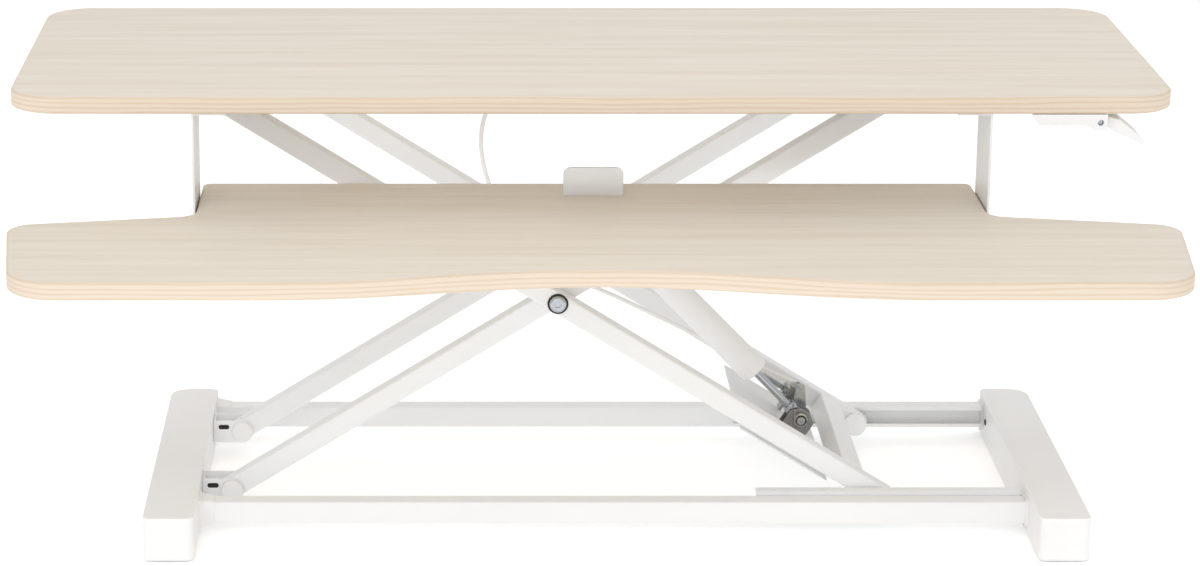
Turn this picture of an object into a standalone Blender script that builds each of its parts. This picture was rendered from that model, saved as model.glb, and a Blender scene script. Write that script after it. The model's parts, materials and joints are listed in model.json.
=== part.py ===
"""Sit-stand desk converter: a desktop and a keyboard tray on a steel scissor lift.

X runs right, Y away from the user and Z up, in metres. The origin is on the table, in the middle of
the whole footprint. The lift stands at its rest height, and every moving group hangs on an empty that
stands on its joint's axis.
"""

from math import asin, cos, pi, radians, sin

import bmesh
import bpy
from mathutils import Matrix, Vector

# Boards
TOP_WIDTH = 1.067
TOP_DEPTH = 0.400
TOP_HEIGHT = 0.451
TOP_CORNER = 0.045
BOARD = 0.016
BOARD_EDGE = 0.0022
TRAY_WIDTH = 1.066
TRAY_DROP = 0.107
TRAY_REACH = 0.237
TRAY_HALF_NECK = 0.362
TRAY_NECK_DEPTH = 0.102
TRAY_EAR_BACK = -0.036
TRAY_WAVE = 0.040
TRAY_WAVE_HALF = 0.285
EAR_CORNER = 0.026
EAR_FRONT_CORNER = 0.046
EAR_LEAN = 0.0215
EAR_OVER = 0.0
EAR_DROP = 0.012
NECK_FILLET = 0.020
NECK_CORNER = 0.008

# Base
BASE_WIDTH = 0.894
BASE_SHIFT = 0.028
FOOT_WIDTH = 0.048
FOOT_HEIGHT = 0.044
FOOT_DEPTH = 0.398
FOOT_WALL = 0.0025
FOOT_CLEAR = 0.002
FOOT_ROUND = 0.007
FOOT_END_ROUND = 0.020
FOOT_ROOF = 0.004
FOOT_BAR_WIDTH = 0.030
FOOT_BAR_OUT = 0.003
FOOT_BAR_SHORT = 0.030
SLOT_CLEAR = 0.0005
SLOT_REACH = 0.012
RAIL_DEPTH = 0.020
RAIL_HEIGHT = 0.022
RAIL_BOTTOM = 0.012
RAIL_WALL = 0.0015
RAIL_INSET = 0.075
RAIL_SPREAD = 0.293
PAD_SIZE = 0.026
PAD_HEIGHT = 0.010
PAD_INSET = 0.030
PAD_EDGE = 0.002
TUBE_EDGE = 0.0015
SMALL_EDGE = 0.0006
THROUGH = 0.080

# Scissor
ARM_LENGTH = 0.743
ARM_SIZE = 0.020
ARM_WALL = 0.0015
ARM_OVER = 0.008
ARM_EDGE = 0.002
ARM_GAP = 0.003
PIVOT_X = -0.3415
LOW_AXIS = 0.027
TOP_AXIS_DROP = 0.016
CROSS_TUBE = 0.024
CROSS_TUBE_AT = 0.335
PLATE_FROM = 0.222
SHEET = 0.002

# Tracks and rollers
TRACK_LOW_LENGTH = 0.256
TRACK_TOP_LENGTH = 0.286
TRACK_TOP_INNER = 0.168
TRACK_WALL = 0.0015
TRACK_DEPTH = 0.012
TRACK_LIP = 0.002
TRACK_TO_FOOT = 0.004
ROLLER_RADIUS = 0.009
ROLLER_WIDTH = 0.008
ROLLER_EDGE = 0.0008
ROLLER_OFF = 0.0036
AXLE_TIP = 0.0118
ARM_TO_TRACK = 0.0017
ROLLER_CLEAR = 0.0003
PIN_RADIUS = 0.004
HEAD_RADIUS = 0.0085
HEAD_HEIGHT = 0.004
HEAD_EDGE = 0.001
WASHER_RADIUS = 0.009
PIN_CLEAR = 0.0003
GAP = 0.0003

# Pivot brackets
BRACKET_CLEAR = 0.0006
BASE_NOSE = 0.0115
TOP_NOSE = 0.011
BRACKET_HALF = 0.022
BRACKET_FLANGE = 0.003

# Gas spring
STRUT_HIGH = 0.072
STRUT_LOW = 0.291
STRUT_ROD = 0.004
STRUT_COVER = 0.0145
STRUT_COVER_WALL = 0.0015
STRUT_BODY = 0.0105
STRUT_VISIBLE_ROD = 0.066
STRUT_PIN = 0.003
STRUT_STROKE = 0.056
COVER_TOP_GAP = 0.032
STRUT_FREE_PLAY = 0.0078
FORK_GAP = 0.020
FORK_WALL = 0.003
FORK_RIM = 0.004
ROD_FROM = 0.006
ROD_FOOT = (0.026, 0.012, 0.012)
ROD_FOOT_UP = 0.004
ROD_CLEAR = 0.0008
COVER_EDGE = 0.003
COVER_ROOF = 0.004
TUBE_RECESS = 0.006
EYE_RADIUS = 0.007
EYE_HALF = 0.004
EYE_PIN_HALF = 0.017
EYE_STEM = (0.006, 0.008)
CLEVIS_GAP = 0.014
CLEVIS_PIN = 0.034
CLEVIS_SHOULDER = ((0.014, 0.003), (0.006, 0.009), (-0.006, 0.009), (-0.013, 0.002))
ROCKER_THICK = 0.003
ROCKER_LEAN = 0.5
ROCKER_SHAPE = (
    (-0.007, -0.007, 0.005), (0.007, -0.007, 0.005), (0.007, 0.007, 0.003), (0.004, 0.030, 0.003),
    (-0.004, 0.030, 0.003), (-0.007, 0.007, 0.003),
)

# Adjuster
SCREW_RADIUS = 0.003
SCREW_LENGTH = 0.052
SCREW_SIDE = 0.048
SCREW_RISE = 0.006
SCREW_BACK = 0.010
LUG = (0.003, 0.016, 0.030)
NUT_RADIUS = 0.0065
NUT_THICK = 0.005
INNER_TUBE = 0.020
INNER_TUBE_BEHIND = 0.036
PLATE_DROP = 0.018

# Lever and cable
LEVER_X = 0.463
LEVER_Y = 0.030
LEVER_DROP = 0.008
LEVER_WIDTH = 0.036
LEVER_CLEAR = 0.001
LEVER_BAY = 0.034
LEVER_PIN = 0.0025
LEVER_PIN_SHORT = 0.006
LEVER_EDGE = 0.0012
LEVER_BRACKET_DEPTH = 0.060
HOUSING_SHAPE = (
    (-0.062, 0.0), (-0.056, 0.010), (-0.014, 0.010), (-0.004, 0.0145), (0.006, 0.0145), (0.006, 0.0),
)
LEVER_SHAPE = (
    (-0.0045, -0.0040), (0.0045, -0.0040), (0.013, -0.010), (0.042, -0.0235), (0.0425, -0.0205),
    (0.0385, -0.0150), (0.020, 0.0005), (0.0065, 0.0034), (-0.0040, 0.0040),
)
CABLE_RADIUS = 0.0022

# Hangers
HANGER_DEPTH = 0.075
HANGER_FRONT = 0.005
HANGER_FLANGE = 0.030
HANGER_GAP = 0.0015
STOP_WIDTH = 0.056
STOP_HEIGHT = 0.027
STOP_THICK = 0.003
STOP_CORNER = 0.007
STOP_X = 0.004
STOP_BACK = 0.055

# Derived places
Y_FRONT = (TRAY_REACH - TOP_DEPTH) / 2
TOP_UNDER = TOP_HEIGHT - BOARD
TOP_AXIS = TOP_UNDER - TOP_AXIS_DROP
TRAY_TOP = TOP_HEIGHT - TRAY_DROP
TRAY_UNDER = TRAY_TOP - BOARD
THETA = asin((TOP_AXIS - LOW_AXIS) / ARM_LENGTH)
HALF = ARM_LENGTH / 2
CROSS_X = PIVOT_X + HALF * cos(THETA)
CROSS_Z = (TOP_AXIS + LOW_AXIS) / 2
FAR_X = PIVOT_X + ARM_LENGTH * cos(THETA)
FOOT_FRONT = Y_FRONT + 0.001
RAIL_FRONT_Y = Y_FRONT + RAIL_INSET + RAIL_DEPTH / 2
RAIL_Y = (RAIL_FRONT_Y, RAIL_FRONT_Y + RAIL_SPREAD)
MIDDLE_Y = RAIL_FRONT_Y + RAIL_SPREAD / 2
OUTER_ARM_OFF = RAIL_SPREAD / 2 - RAIL_DEPTH / 2 - TRACK_DEPTH - GAP - ARM_TO_TRACK - ARM_SIZE / 2
INNER_ARM_OFF = OUTER_ARM_OFF - ARM_SIZE - ARM_GAP
FOOT_X = (BASE_SHIFT - BASE_WIDTH / 2 + FOOT_WIDTH / 2, BASE_SHIFT + BASE_WIDTH / 2 - FOOT_WIDTH / 2)

WHITE_STEEL = ("powder_coated_steel", "E9E8E5", 0.42, 0.0)
BEECH = ("laminated_beech_board", "DCCBB2", 0.55, 0.0)
PLASTIC = ("moulded_white_plastic", "E6E4E1", 0.50, 0.0)
ZINC = ("zinc_plated_steel", "B9BCBD", 0.30, 1.0)
CHROME = ("chromed_steel", "D6D8DA", 0.12, 1.0)
DARK = ("grey_zinc_casting", "8C8A88", 0.45, 0.8)
RUBBER = ("black_rubber", "2B2A29", 0.85, 0.0)
NYLON = ("white_nylon", "EFEEEA", 0.40, 0.0)
CLEAR = ("frosted_acrylic", "EDF0F0", 0.35, 0.0)
CABLE = ("white_vinyl", "F0EFED", 0.45, 0.0)

parts = None
cutters = None
axes = {}


def clear_scene():
    """Removes the startup objects and makes the two collections."""
    global parts, cutters
    for obj in list(bpy.data.objects):
        bpy.data.objects.remove(obj, do_unlink=True)
    parts = bpy.data.collections.new("standing_desk_converter")
    cutters = bpy.data.collections.new("cutters")
    cutters.hide_render = True
    for collection in (parts, cutters):
        bpy.context.scene.collection.children.link(collection)


def linear(code):
    """An sRGB hex colour as linear RGBA."""
    channels = [int(code[i : i + 2], 16) / 255 for i in (0, 2, 4)]
    return [c / 12.92 if c <= 0.04045 else ((c + 0.055) / 1.055) ** 2.4 for c in channels] + [1.0]


def material(finish):
    """The Principled material of one finish, made once."""
    name, code, roughness, metallic = finish
    found = bpy.data.materials.get(name)
    if found:
        return found
    made = bpy.data.materials.new(name)
    made.use_nodes = True
    shader = made.node_tree.nodes["Principled BSDF"]
    shader.inputs["Base Color"].default_value = linear(code)
    shader.inputs["Roughness"].default_value = roughness
    shader.inputs["Metallic"].default_value = metallic
    made.diffuse_color = linear(code)
    return made


def axis_empty(name, place, parent=None):
    """An empty that stands on a joint's axis and keeps its world place under its parent."""
    empty = bpy.data.objects.new(name, None)
    parts.objects.link(empty)
    empty.location = place
    axes[name] = Vector(place)
    hang(empty, parent)
    return empty


def hang(obj, parent):
    """Parents an object to a joint's empty, with its location still given in world space."""
    if parent:
        obj.parent = bpy.data.objects[parent]
        offset = axes[parent]
        obj.matrix_parent_inverse = Matrix.Translation(-offset)


def finish(obj, look, place, turn, parent):
    """Names the finish, place and parent of a sub-part."""
    obj.data.materials.clear()
    obj.data.materials.append(material(look))
    obj.location = place
    obj.rotation_euler = turn
    hang(obj, parent)
    return obj


def mesh_object(name, bm, collection=None):
    mesh = bpy.data.meshes.new(name)
    bm.to_mesh(mesh)
    bm.free()
    obj = bpy.data.objects.new(name, mesh)
    (collection or parts).objects.link(obj)
    return obj


def bevel(obj, width, segments=2, angle=30):
    """Rounds the edges sharper than the angle."""
    mod = obj.modifiers.new("rounded_edges", "BEVEL")
    mod.width = width
    mod.segments = segments
    mod.limit_method = "ANGLE"
    mod.angle_limit = radians(angle)
    return obj


def box(name, size, look, place, turn=(0, 0, 0), parent=None, edge=0.0):
    """A block of the given size about its own centre."""
    bm = bmesh.new()
    bmesh.ops.create_cube(bm, size=1.0, matrix=Matrix.Diagonal((*size, 1.0)))
    obj = finish(mesh_object(name, bm), look, place, turn, parent)
    if edge:
        bevel(obj, edge)
    return obj


def as_mesh(curve_object):
    """The curve object turned into a mesh object with its caps welded."""
    graph = bpy.context.evaluated_depsgraph_get()
    mesh = bpy.data.meshes.new_from_object(curve_object.evaluated_get(graph))
    bm = bmesh.new()
    bm.from_mesh(mesh)
    bmesh.ops.remove_doubles(bm, verts=bm.verts, dist=1e-6)
    bmesh.ops.recalc_face_normals(bm, faces=bm.faces)
    bm.to_mesh(mesh)
    bm.free()
    name = curve_object.name
    curve = curve_object.data
    bpy.data.objects.remove(curve_object)
    bpy.data.curves.remove(curve)
    obj = bpy.data.objects.new(name, mesh)
    parts.objects.link(obj)
    return obj


def curve_object(name, points, cyclic):
    curve = bpy.data.curves.new(name, "CURVE")
    spline = curve.splines.new("POLY")
    spline.points.add(len(points) - 1)
    for target, point in zip(spline.points, points):
        target.co = (*point, *(0.0,) * (3 - len(point)), 1.0)
    spline.use_cyclic_u = cyclic
    obj = bpy.data.objects.new(name, curve)
    parts.objects.link(obj)
    return obj


TURN_TO = {"Z": (0, 0, 0), "Y": (pi / 2, 0, 0), "X": (pi / 2, 0, pi / 2)}


def outline(name, points, thick, look, place, across="Z", parent=None, tilt=0.0, edge=0.0):
    """A flat outline made solid: its points are (X, Y), (X, Z) or (Y, Z), and it is thick across the
    named axis, about its middle. tilt turns it about Y."""
    obj = curve_object(name, points, True)
    obj.data.dimensions = "2D"
    obj.data.fill_mode = "BOTH"
    obj.data.extrude = thick / 2
    obj = as_mesh(obj)
    turn = Matrix.Rotation(tilt, 4, "Y") @ rotation(TURN_TO[across])
    obj.data.transform(turn)
    obj = finish(obj, look, place, (0, 0, 0), parent)
    if edge:
        bevel(obj, edge)
    return obj


def rotation(euler):
    about_x, about_y, about_z = (Matrix.Rotation(a, 4, axis) for a, axis in zip(euler, "XYZ"))
    return about_z @ about_y @ about_x


def turned(name, profile, look, place, along="Y", parent=None, tilt=0.0, steps=24, closed=False):
    """A turned piece: the profile's (radius, height) points run from the top down on the outer side,
    round an axis that is laid along X, Y or Z, or along an arm by tilt."""
    bm = bmesh.new()
    verts = [bm.verts.new((radius, 0.0, height)) for radius, height in profile]
    for a, b in zip(verts, verts[1:]):
        bm.edges.new((a, b))
    if closed:
        bm.edges.new((verts[-1], verts[0]))
    obj = mesh_object(name, bm)
    mod = obj.modifiers.new("turned", "SCREW")
    mod.axis = "Z"
    mod.steps = steps
    mod.render_steps = steps
    mod.use_merge_vertices = True
    mod.merge_threshold = 0.00001
    lay = {"Z": (0, 0, 0), "Y": (pi / 2, 0, 0), "X": (0, pi / 2, 0)}[along]
    return finish(obj, look, place, (lay[0], lay[1] + tilt, lay[2]), parent)


def rod(name, radius, length, look, place, along="Y", parent=None, tilt=0.0, steps=24):
    """A plain round bar about its middle, with broken edges."""
    ease = min(SMALL_EDGE, radius / 4)
    half = length / 2
    profile = [(0, half), (radius - ease, half), (radius, half - ease)]
    profile += [(radius, ease - half), (radius - ease, -half), (0, -half)]
    return turned(name, profile, look, place, along, parent, tilt, steps)


def cutter_box(name, size, place, turn=(0, 0, 0)):
    bm = bmesh.new()
    bmesh.ops.create_cube(bm, size=1.0, matrix=Matrix.Diagonal((*size, 1.0)))
    obj = mesh_object(name, bm, cutters)
    obj.location = place
    obj.rotation_euler = turn
    return hide_cutter(obj)


def cutter_outline(name, points, thick, place):
    """A cutter from a flat outline, thick along Z about its middle."""
    obj = curve_object(name, points, True)
    obj.data.dimensions = "2D"
    obj.data.fill_mode = "BOTH"
    obj.data.extrude = thick / 2
    obj = as_mesh(obj)
    parts.objects.unlink(obj)
    cutters.objects.link(obj)
    obj.location = place
    return hide_cutter(obj)


def cutter_round(name, radius, length, place, along="Y", steps=24):
    bm = bmesh.new()
    bmesh.ops.create_cone(bm, cap_ends=True, segments=steps, radius1=radius, radius2=radius, depth=length)
    obj = mesh_object(name, bm, cutters)
    obj.location = place
    obj.rotation_euler = {"Z": (0, 0, 0), "Y": (pi / 2, 0, 0), "X": (0, pi / 2, 0)}[along]
    return hide_cutter(obj)


def hide_cutter(obj):
    obj.hide_render = True
    obj.display_type = "WIRE"
    return obj


def combine(obj, other, operation="DIFFERENCE"):
    mod = obj.modifiers.new(other.name, "BOOLEAN")
    mod.operation = operation
    mod.solver = "EXACT"
    mod.object = other
    return obj


def rounded(points, default=0.0, steps=6):
    """A closed outline with its corners rounded: each point is (x, y) or (x, y, radius)."""
    out = []
    count = len(points)
    for i, point in enumerate(points):
        here = Vector(point[:2])
        radius = point[2] if len(point) > 2 else default
        if radius <= 0:
            out.append(tuple(here))
            continue
        back = (Vector(points[i - 1][:2]) - here).normalized()
        ahead = (Vector(points[(i + 1) % count][:2]) - here).normalized()
        half_angle = back.angle(ahead) / 2
        reach = radius / max(abs(sin(half_angle)), 1e-6)
        centre = here + (back + ahead).normalized() * reach
        start = here + back * (radius * cos(half_angle) / sin(half_angle)) - centre
        end = here + ahead * (radius * cos(half_angle) / sin(half_angle)) - centre
        sweep = start.angle_signed(end)
        for k in range(steps + 1):
            turn = Matrix.Rotation(-sweep * k / steps, 2)
            out.append(tuple(centre + turn @ start))
    return out


def smooth_path(points, count):
    """Points read evenly from a Catmull-Rom curve through the route's own points."""
    route = [Vector(p) for p in points]
    route = [route[0] * 2 - route[1], *route, route[-1] * 2 - route[-2]]
    fine = []
    for a, b, c, d in zip(route, route[1:], route[2:], route[3:]):
        for k in range(24):
            t = k / 24
            fine.append(0.5 * (2 * b + (c - a) * t + (2 * a - 5 * b + 4 * c - d) * t * t
                               + (3 * b - a - 3 * c + d) * t**3))
    fine.append(route[-2])
    lengths = [0.0]
    for a, b in zip(fine, fine[1:]):
        lengths.append(lengths[-1] + (b - a).length)
    out = []
    index = 0
    for k in range(count):
        want = lengths[-1] * k / (count - 1)
        while index < len(fine) - 2 and lengths[index + 1] < want:
            index += 1
        share = (want - lengths[index]) / max(lengths[index + 1] - lengths[index], 1e-9)
        out.append(fine[index].lerp(fine[index + 1], min(share, 1.0)))
    return out


def on_arm(side, along, off=0.0, y=0.0):
    """A point given along and above an arm from the crossing. side is 1 for the inner arms, which rise
    to the right, and -1 for the outer arms, which fall to the right."""
    angle = THETA * side
    x = CROSS_X + along * cos(angle) - off * sin(angle)
    z = CROSS_Z + along * sin(angle) + off * cos(angle)
    return (x, y, z)


def make_axes():
    axis_empty("lift_axis", (PIVOT_X, MIDDLE_Y, LOW_AXIS))
    axis_empty("crossing_axis", (CROSS_X, MIDDLE_Y, CROSS_Z), "lift_axis")
    axis_empty("top_axis", (PIVOT_X, MIDDLE_Y, TOP_AXIS), "crossing_axis")
    axis_empty("strut_axis", on_arm(-1, STRUT_LOW, 0.0, MIDDLE_Y), "crossing_axis")
    axis_empty("strut_slide_axis", on_arm(1, STRUT_HIGH, 0.0, MIDDLE_Y), "strut_axis")
    axis_empty("rocker_axis", on_arm(-1, STRUT_LOW, 0.0, MIDDLE_Y), "crossing_axis")
    axis_empty("lever_axis", (LEVER_X, Y_FRONT + LEVER_Y, TOP_UNDER - LEVER_DROP), "top_axis")


def board_top():
    half = TOP_WIDTH / 2
    corners = [(-half, Y_FRONT), (half, Y_FRONT), (half, Y_FRONT + TOP_DEPTH), (-half, Y_FRONT + TOP_DEPTH)]
    outline("desktop_board", rounded(corners, TOP_CORNER, 10), BOARD, BEECH,
            (0, 0, TOP_HEIGHT - BOARD / 2), parent="top_axis", edge=BOARD_EDGE)


def tray_outline():
    """Half the tray's outline from the middle of the front edge round to the middle of the back."""
    front = Y_FRONT - TRAY_REACH
    half = TRAY_WIDTH / 2
    ear_back = Y_FRONT + TRAY_EAR_BACK
    neck_back = Y_FRONT + TRAY_NECK_DEPTH
    wave = []
    for k in range(13):
        x = TRAY_WAVE_HALF * k / 12
        wave.append((x, front + TRAY_WAVE * 0.5 * (1 + cos(pi * k / 12))))
    side = rounded([(TRAY_WAVE_HALF, front), (half - EAR_LEAN, front, EAR_FRONT_CORNER),
                    (half + EAR_OVER, ear_back - EAR_DROP, EAR_CORNER),
                    (TRAY_HALF_NECK, ear_back + NECK_FILLET, NECK_FILLET),
                    (TRAY_HALF_NECK, neck_back, NECK_CORNER), (0, neck_back)], 0.0, 6)
    return wave + side[1:-1]


def keyboard_tray():
    right = tray_outline()
    left = [(-x, y) for x, y in reversed(right[1:])]
    outline("keyboard_tray_board", right + left, BOARD, BEECH, (0, 0, TRAY_TOP - BOARD / 2),
            parent="top_axis", edge=BOARD_EDGE)


def tray_hangers():
    """Folded brackets: the web stands beside the tray's neck, with flanges over and under."""
    web_in = TRAY_HALF_NECK + HANGER_GAP
    web_out = web_in + SHEET
    high = TOP_UNDER - GAP
    low = TRAY_UNDER - GAP - SHEET
    for name, side in (("left", -1), ("right", 1)):
        points = [(web_out, low), (web_out, high), (web_in - HANGER_FLANGE, high),
                  (web_in - HANGER_FLANGE, high - SHEET), (web_in, high - SHEET),
                  (web_in, low + SHEET), (web_in - HANGER_FLANGE, low + SHEET), (web_in - HANGER_FLANGE, low)]
        points = [(x * side, z) for x, z in points]
        outline(f"tray_hanger_{name}", points, HANGER_DEPTH, WHITE_STEEL,
                (0, Y_FRONT + HANGER_FRONT + HANGER_DEPTH / 2, 0), "Y", "top_axis")


def tray_stop():
    half = STOP_WIDTH / 2
    points = rounded([(-half, 0), (half, 0), (half, STOP_HEIGHT, STOP_CORNER),
                      (-half, STOP_HEIGHT, STOP_CORNER)])
    outline("tray_stop", points, STOP_THICK, CLEAR,
            (STOP_X, Y_FRONT + STOP_BACK, TRAY_TOP + GAP), "Y", "top_axis", edge=SMALL_EDGE)


def foot(name, side):
    """A moulded cover, open below, over a steel bar that ties the two rails together."""
    x = FOOT_X[0] if side < 0 else FOOT_X[1]
    half = FOOT_WIDTH / 2
    front, back = FOOT_FRONT, FOOT_FRONT + FOOT_DEPTH
    middle = (front + back) / 2
    left_round, right_round = (FOOT_END_ROUND, FOOT_ROUND) if side < 0 else (FOOT_ROUND, FOOT_END_ROUND)
    corners = [(x - half, front, FOOT_ROUND), (x + half, front, FOOT_ROUND),
               (x + half, back, right_round), (x - half, back, left_round)]
    height = FOOT_HEIGHT - FOOT_CLEAR
    cover = outline(f"foot_cover_{name}", rounded(corners, 0.0, 5), height, PLASTIC,
                    (0, 0, FOOT_CLEAR + height / 2))
    round_top(cover, height / 2)
    signs = ((1, 1), (-1, 1), (-1, -1), (1, -1))
    hollow = [(cx + sx * FOOT_WALL, cy + sy * FOOT_WALL, turn - FOOT_WALL)
              for (cx, cy, turn), (sx, sy) in zip(corners, signs)]
    inner = cutter_outline(f"hollow_{name}", rounded(hollow, 0.0, 5), height,
                           (0, 0, FOOT_CLEAR + height / 2 - FOOT_ROOF))
    combine(cover, inner)
    slot_top = RAIL_BOTTOM + RAIL_HEIGHT + SLOT_CLEAR
    for k, rail_y in enumerate(RAIL_Y):
        slot = cutter_box(f"rail_slot_{name}_{k}", (SLOT_REACH, RAIL_DEPTH + 2 * SLOT_CLEAR, slot_top),
                          (x - side * (half - FOOT_WALL / 2), rail_y, slot_top / 2))
        combine(cover, slot)
    bar_x = x + side * FOOT_BAR_OUT
    box(f"foot_bar_{name}", (FOOT_BAR_WIDTH, FOOT_DEPTH - FOOT_BAR_SHORT, RAIL_HEIGHT), WHITE_STEEL,
        (bar_x, middle, RAIL_BOTTOM + RAIL_HEIGHT / 2), edge=TUBE_EDGE)
    for k, y in (("front", front + PAD_INSET), ("rear", back - PAD_INSET)):
        box(f"rubber_pad_{name}_{k}", (PAD_SIZE, PAD_SIZE, PAD_HEIGHT), RUBBER,
            (bar_x, y, PAD_HEIGHT / 2), edge=PAD_EDGE)


def round_top(obj, level):
    """Rounds only the edges of a solid's upper face, by a weighted Bevel."""
    mesh = obj.data
    weights = mesh.attributes.new("bevel_weight_edge", "FLOAT", "EDGE")
    for edge in mesh.edges:
        ends = [mesh.vertices[i].co.z for i in edge.vertices]
        weights.data[edge.index].value = 1.0 if min(ends) > level - 1e-5 else 0.0
    mod = obj.modifiers.new("rounded_top", "BEVEL")
    mod.width = FOOT_ROUND
    mod.segments = 4
    mod.limit_method = "WEIGHT"


def rails():
    start = FOOT_X[0] - FOOT_BAR_OUT + FOOT_BAR_WIDTH / 2 + GAP
    end = FOOT_X[1] + FOOT_BAR_OUT - FOOT_BAR_WIDTH / 2 - GAP
    for name, y in (("front", RAIL_Y[0]), ("rear", RAIL_Y[1])):
        rail = box(f"base_rail_{name}", (end - start, RAIL_DEPTH, RAIL_HEIGHT), WHITE_STEEL,
                   ((start + end) / 2, y, RAIL_BOTTOM + RAIL_HEIGHT / 2), edge=TUBE_EDGE)
        size = (end - start + THROUGH, RAIL_DEPTH - 2 * RAIL_WALL, RAIL_HEIGHT - 2 * RAIL_WALL)
        combine(rail, cutter_box(f"rail_bore_{name}", size, rail.location))


def channel(name, x0, x1, y_back, side, z, parent):
    """A C-channel along X: its web is at y_back, and it opens towards side in Y."""
    inner = ROLLER_RADIUS + ROLLER_CLEAR
    outer = inner + TRACK_WALL
    d = TRACK_DEPTH
    w = TRACK_WALL
    lip = inner - TRACK_LIP
    points = [(0, -outer), (d, -outer), (d, -lip), (d - w, -lip), (d - w, -inner), (w, -inner),
              (w, inner), (d - w, inner), (d - w, lip), (d, lip), (d, outer), (0, outer)]
    points = [(y * side, h) for y, h in points]
    outline(name, points, x1 - x0, WHITE_STEEL, ((x0 + x1) / 2, y_back, z), "X", parent)


def tracks():
    foot_inner = FOOT_X[1] - FOOT_WIDTH / 2
    end = foot_inner - TRACK_TO_FOOT
    for name, rail_y, side in (("front", RAIL_Y[0], 1), ("rear", RAIL_Y[1], -1)):
        y_back = rail_y + side * (RAIL_DEPTH / 2 + GAP)
        channel(f"lower_track_{name}", end - TRACK_LOW_LENGTH, end, y_back, side, LOW_AXIS, None)
    for name, side in (("front", 1), ("rear", -1)):
        y_arm = MIDDLE_Y - side * (INNER_ARM_OFF + ARM_SIZE / 2)
        y_back = y_arm - side * (TRACK_DEPTH + ARM_TO_TRACK)
        start = FAR_X - TRACK_TOP_INNER
        channel(f"upper_track_{name}", start, start + TRACK_TOP_LENGTH, y_back, side, TOP_AXIS, "top_axis")


def arm(name, tilt, y, parent):
    """A square steel tube, open at its ends, drilled for its three pins."""
    length = ARM_LENGTH + 2 * ARM_OVER
    place = (CROSS_X, y, CROSS_Z)
    tube = box(name, (length, ARM_SIZE, ARM_SIZE), WHITE_STEEL, place, (0, tilt, 0), parent, ARM_EDGE)
    inside = ARM_SIZE - 2 * ARM_WALL
    combine(tube, cutter_box(f"{name}_bore", (length + THROUGH, inside, inside), place, (0, tilt, 0)))
    for k in (-1, 0, 1):
        spot = (CROSS_X + k * HALF * cos(tilt), y, CROSS_Z - k * HALF * sin(tilt))
        combine(tube, cutter_round(f"{name}_hole_{k + 1}", PIN_RADIUS + PIN_CLEAR, ARM_SIZE * 2, spot))
    return tube


def arms():
    for name, side in (("front", -1), ("rear", 1)):
        arm(f"inner_arm_{name}", -THETA, MIDDLE_Y + side * INNER_ARM_OFF, "lift_axis")
        arm(f"outer_arm_{name}", THETA, MIDDLE_Y + side * OUTER_ARM_OFF, "crossing_axis")


def pin(name, x, z, y0, y1, head_side, parent, look=ZINC):
    """A headed pin along Y from y0 to y1, its head beyond the end that head_side names (-1 or 1)."""
    half = (y1 - y0) / 2
    r = PIN_RADIUS
    head = HEAD_RADIUS
    top = half + HEAD_HEIGHT
    profile = [(0, top), (head - HEAD_EDGE, top), (head, top - HEAD_EDGE), (head, half + GAP),
               (r, half + GAP), (r, SMALL_EDGE - half), (r - SMALL_EDGE, -half), (0, -half)]
    obj = turned(name, profile, look, (x, (y0 + y1) / 2, z), parent=parent)
    if head_side > 0:
        obj.rotation_euler = (-pi / 2, 0, 0)
    return obj


def crossing():
    """The bolt and the washer between the two arms at each side of the crossing."""
    for name, side in (("front", -1), ("rear", 1)):
        outer_face = MIDDLE_Y + side * (OUTER_ARM_OFF + ARM_SIZE / 2)
        inner_face = MIDDLE_Y + side * (INNER_ARM_OFF - ARM_SIZE / 2)
        ends = sorted((outer_face, inner_face))
        pin(f"crossing_bolt_{name}", CROSS_X, CROSS_Z, *ends, side, "crossing_axis", CHROME)
        between = MIDDLE_Y + side * (OUTER_ARM_OFF + INNER_ARM_OFF) / 2
        half = ARM_GAP / 2 - GAP
        bore = PIN_RADIUS + PIN_CLEAR
        washer = [(bore, half), (WASHER_RADIUS, half), (WASHER_RADIUS, -half), (bore, -half)]
        turned(f"crossing_washer_{name}", washer, NYLON, (CROSS_X, between, CROSS_Z), parent="crossing_axis",
               closed=True)


def cheek_points(x_root, x_nose, z, nose):
    """A plate from a root line to a round nose about a pin."""
    points = [(x_root, z - nose)]
    for k in range(9):
        angle = -pi / 2 + pi * k / 8
        points.append((x_nose + nose * cos(angle), z + nose * sin(angle)))
    points.append((x_root, z + nose))
    return points


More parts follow.
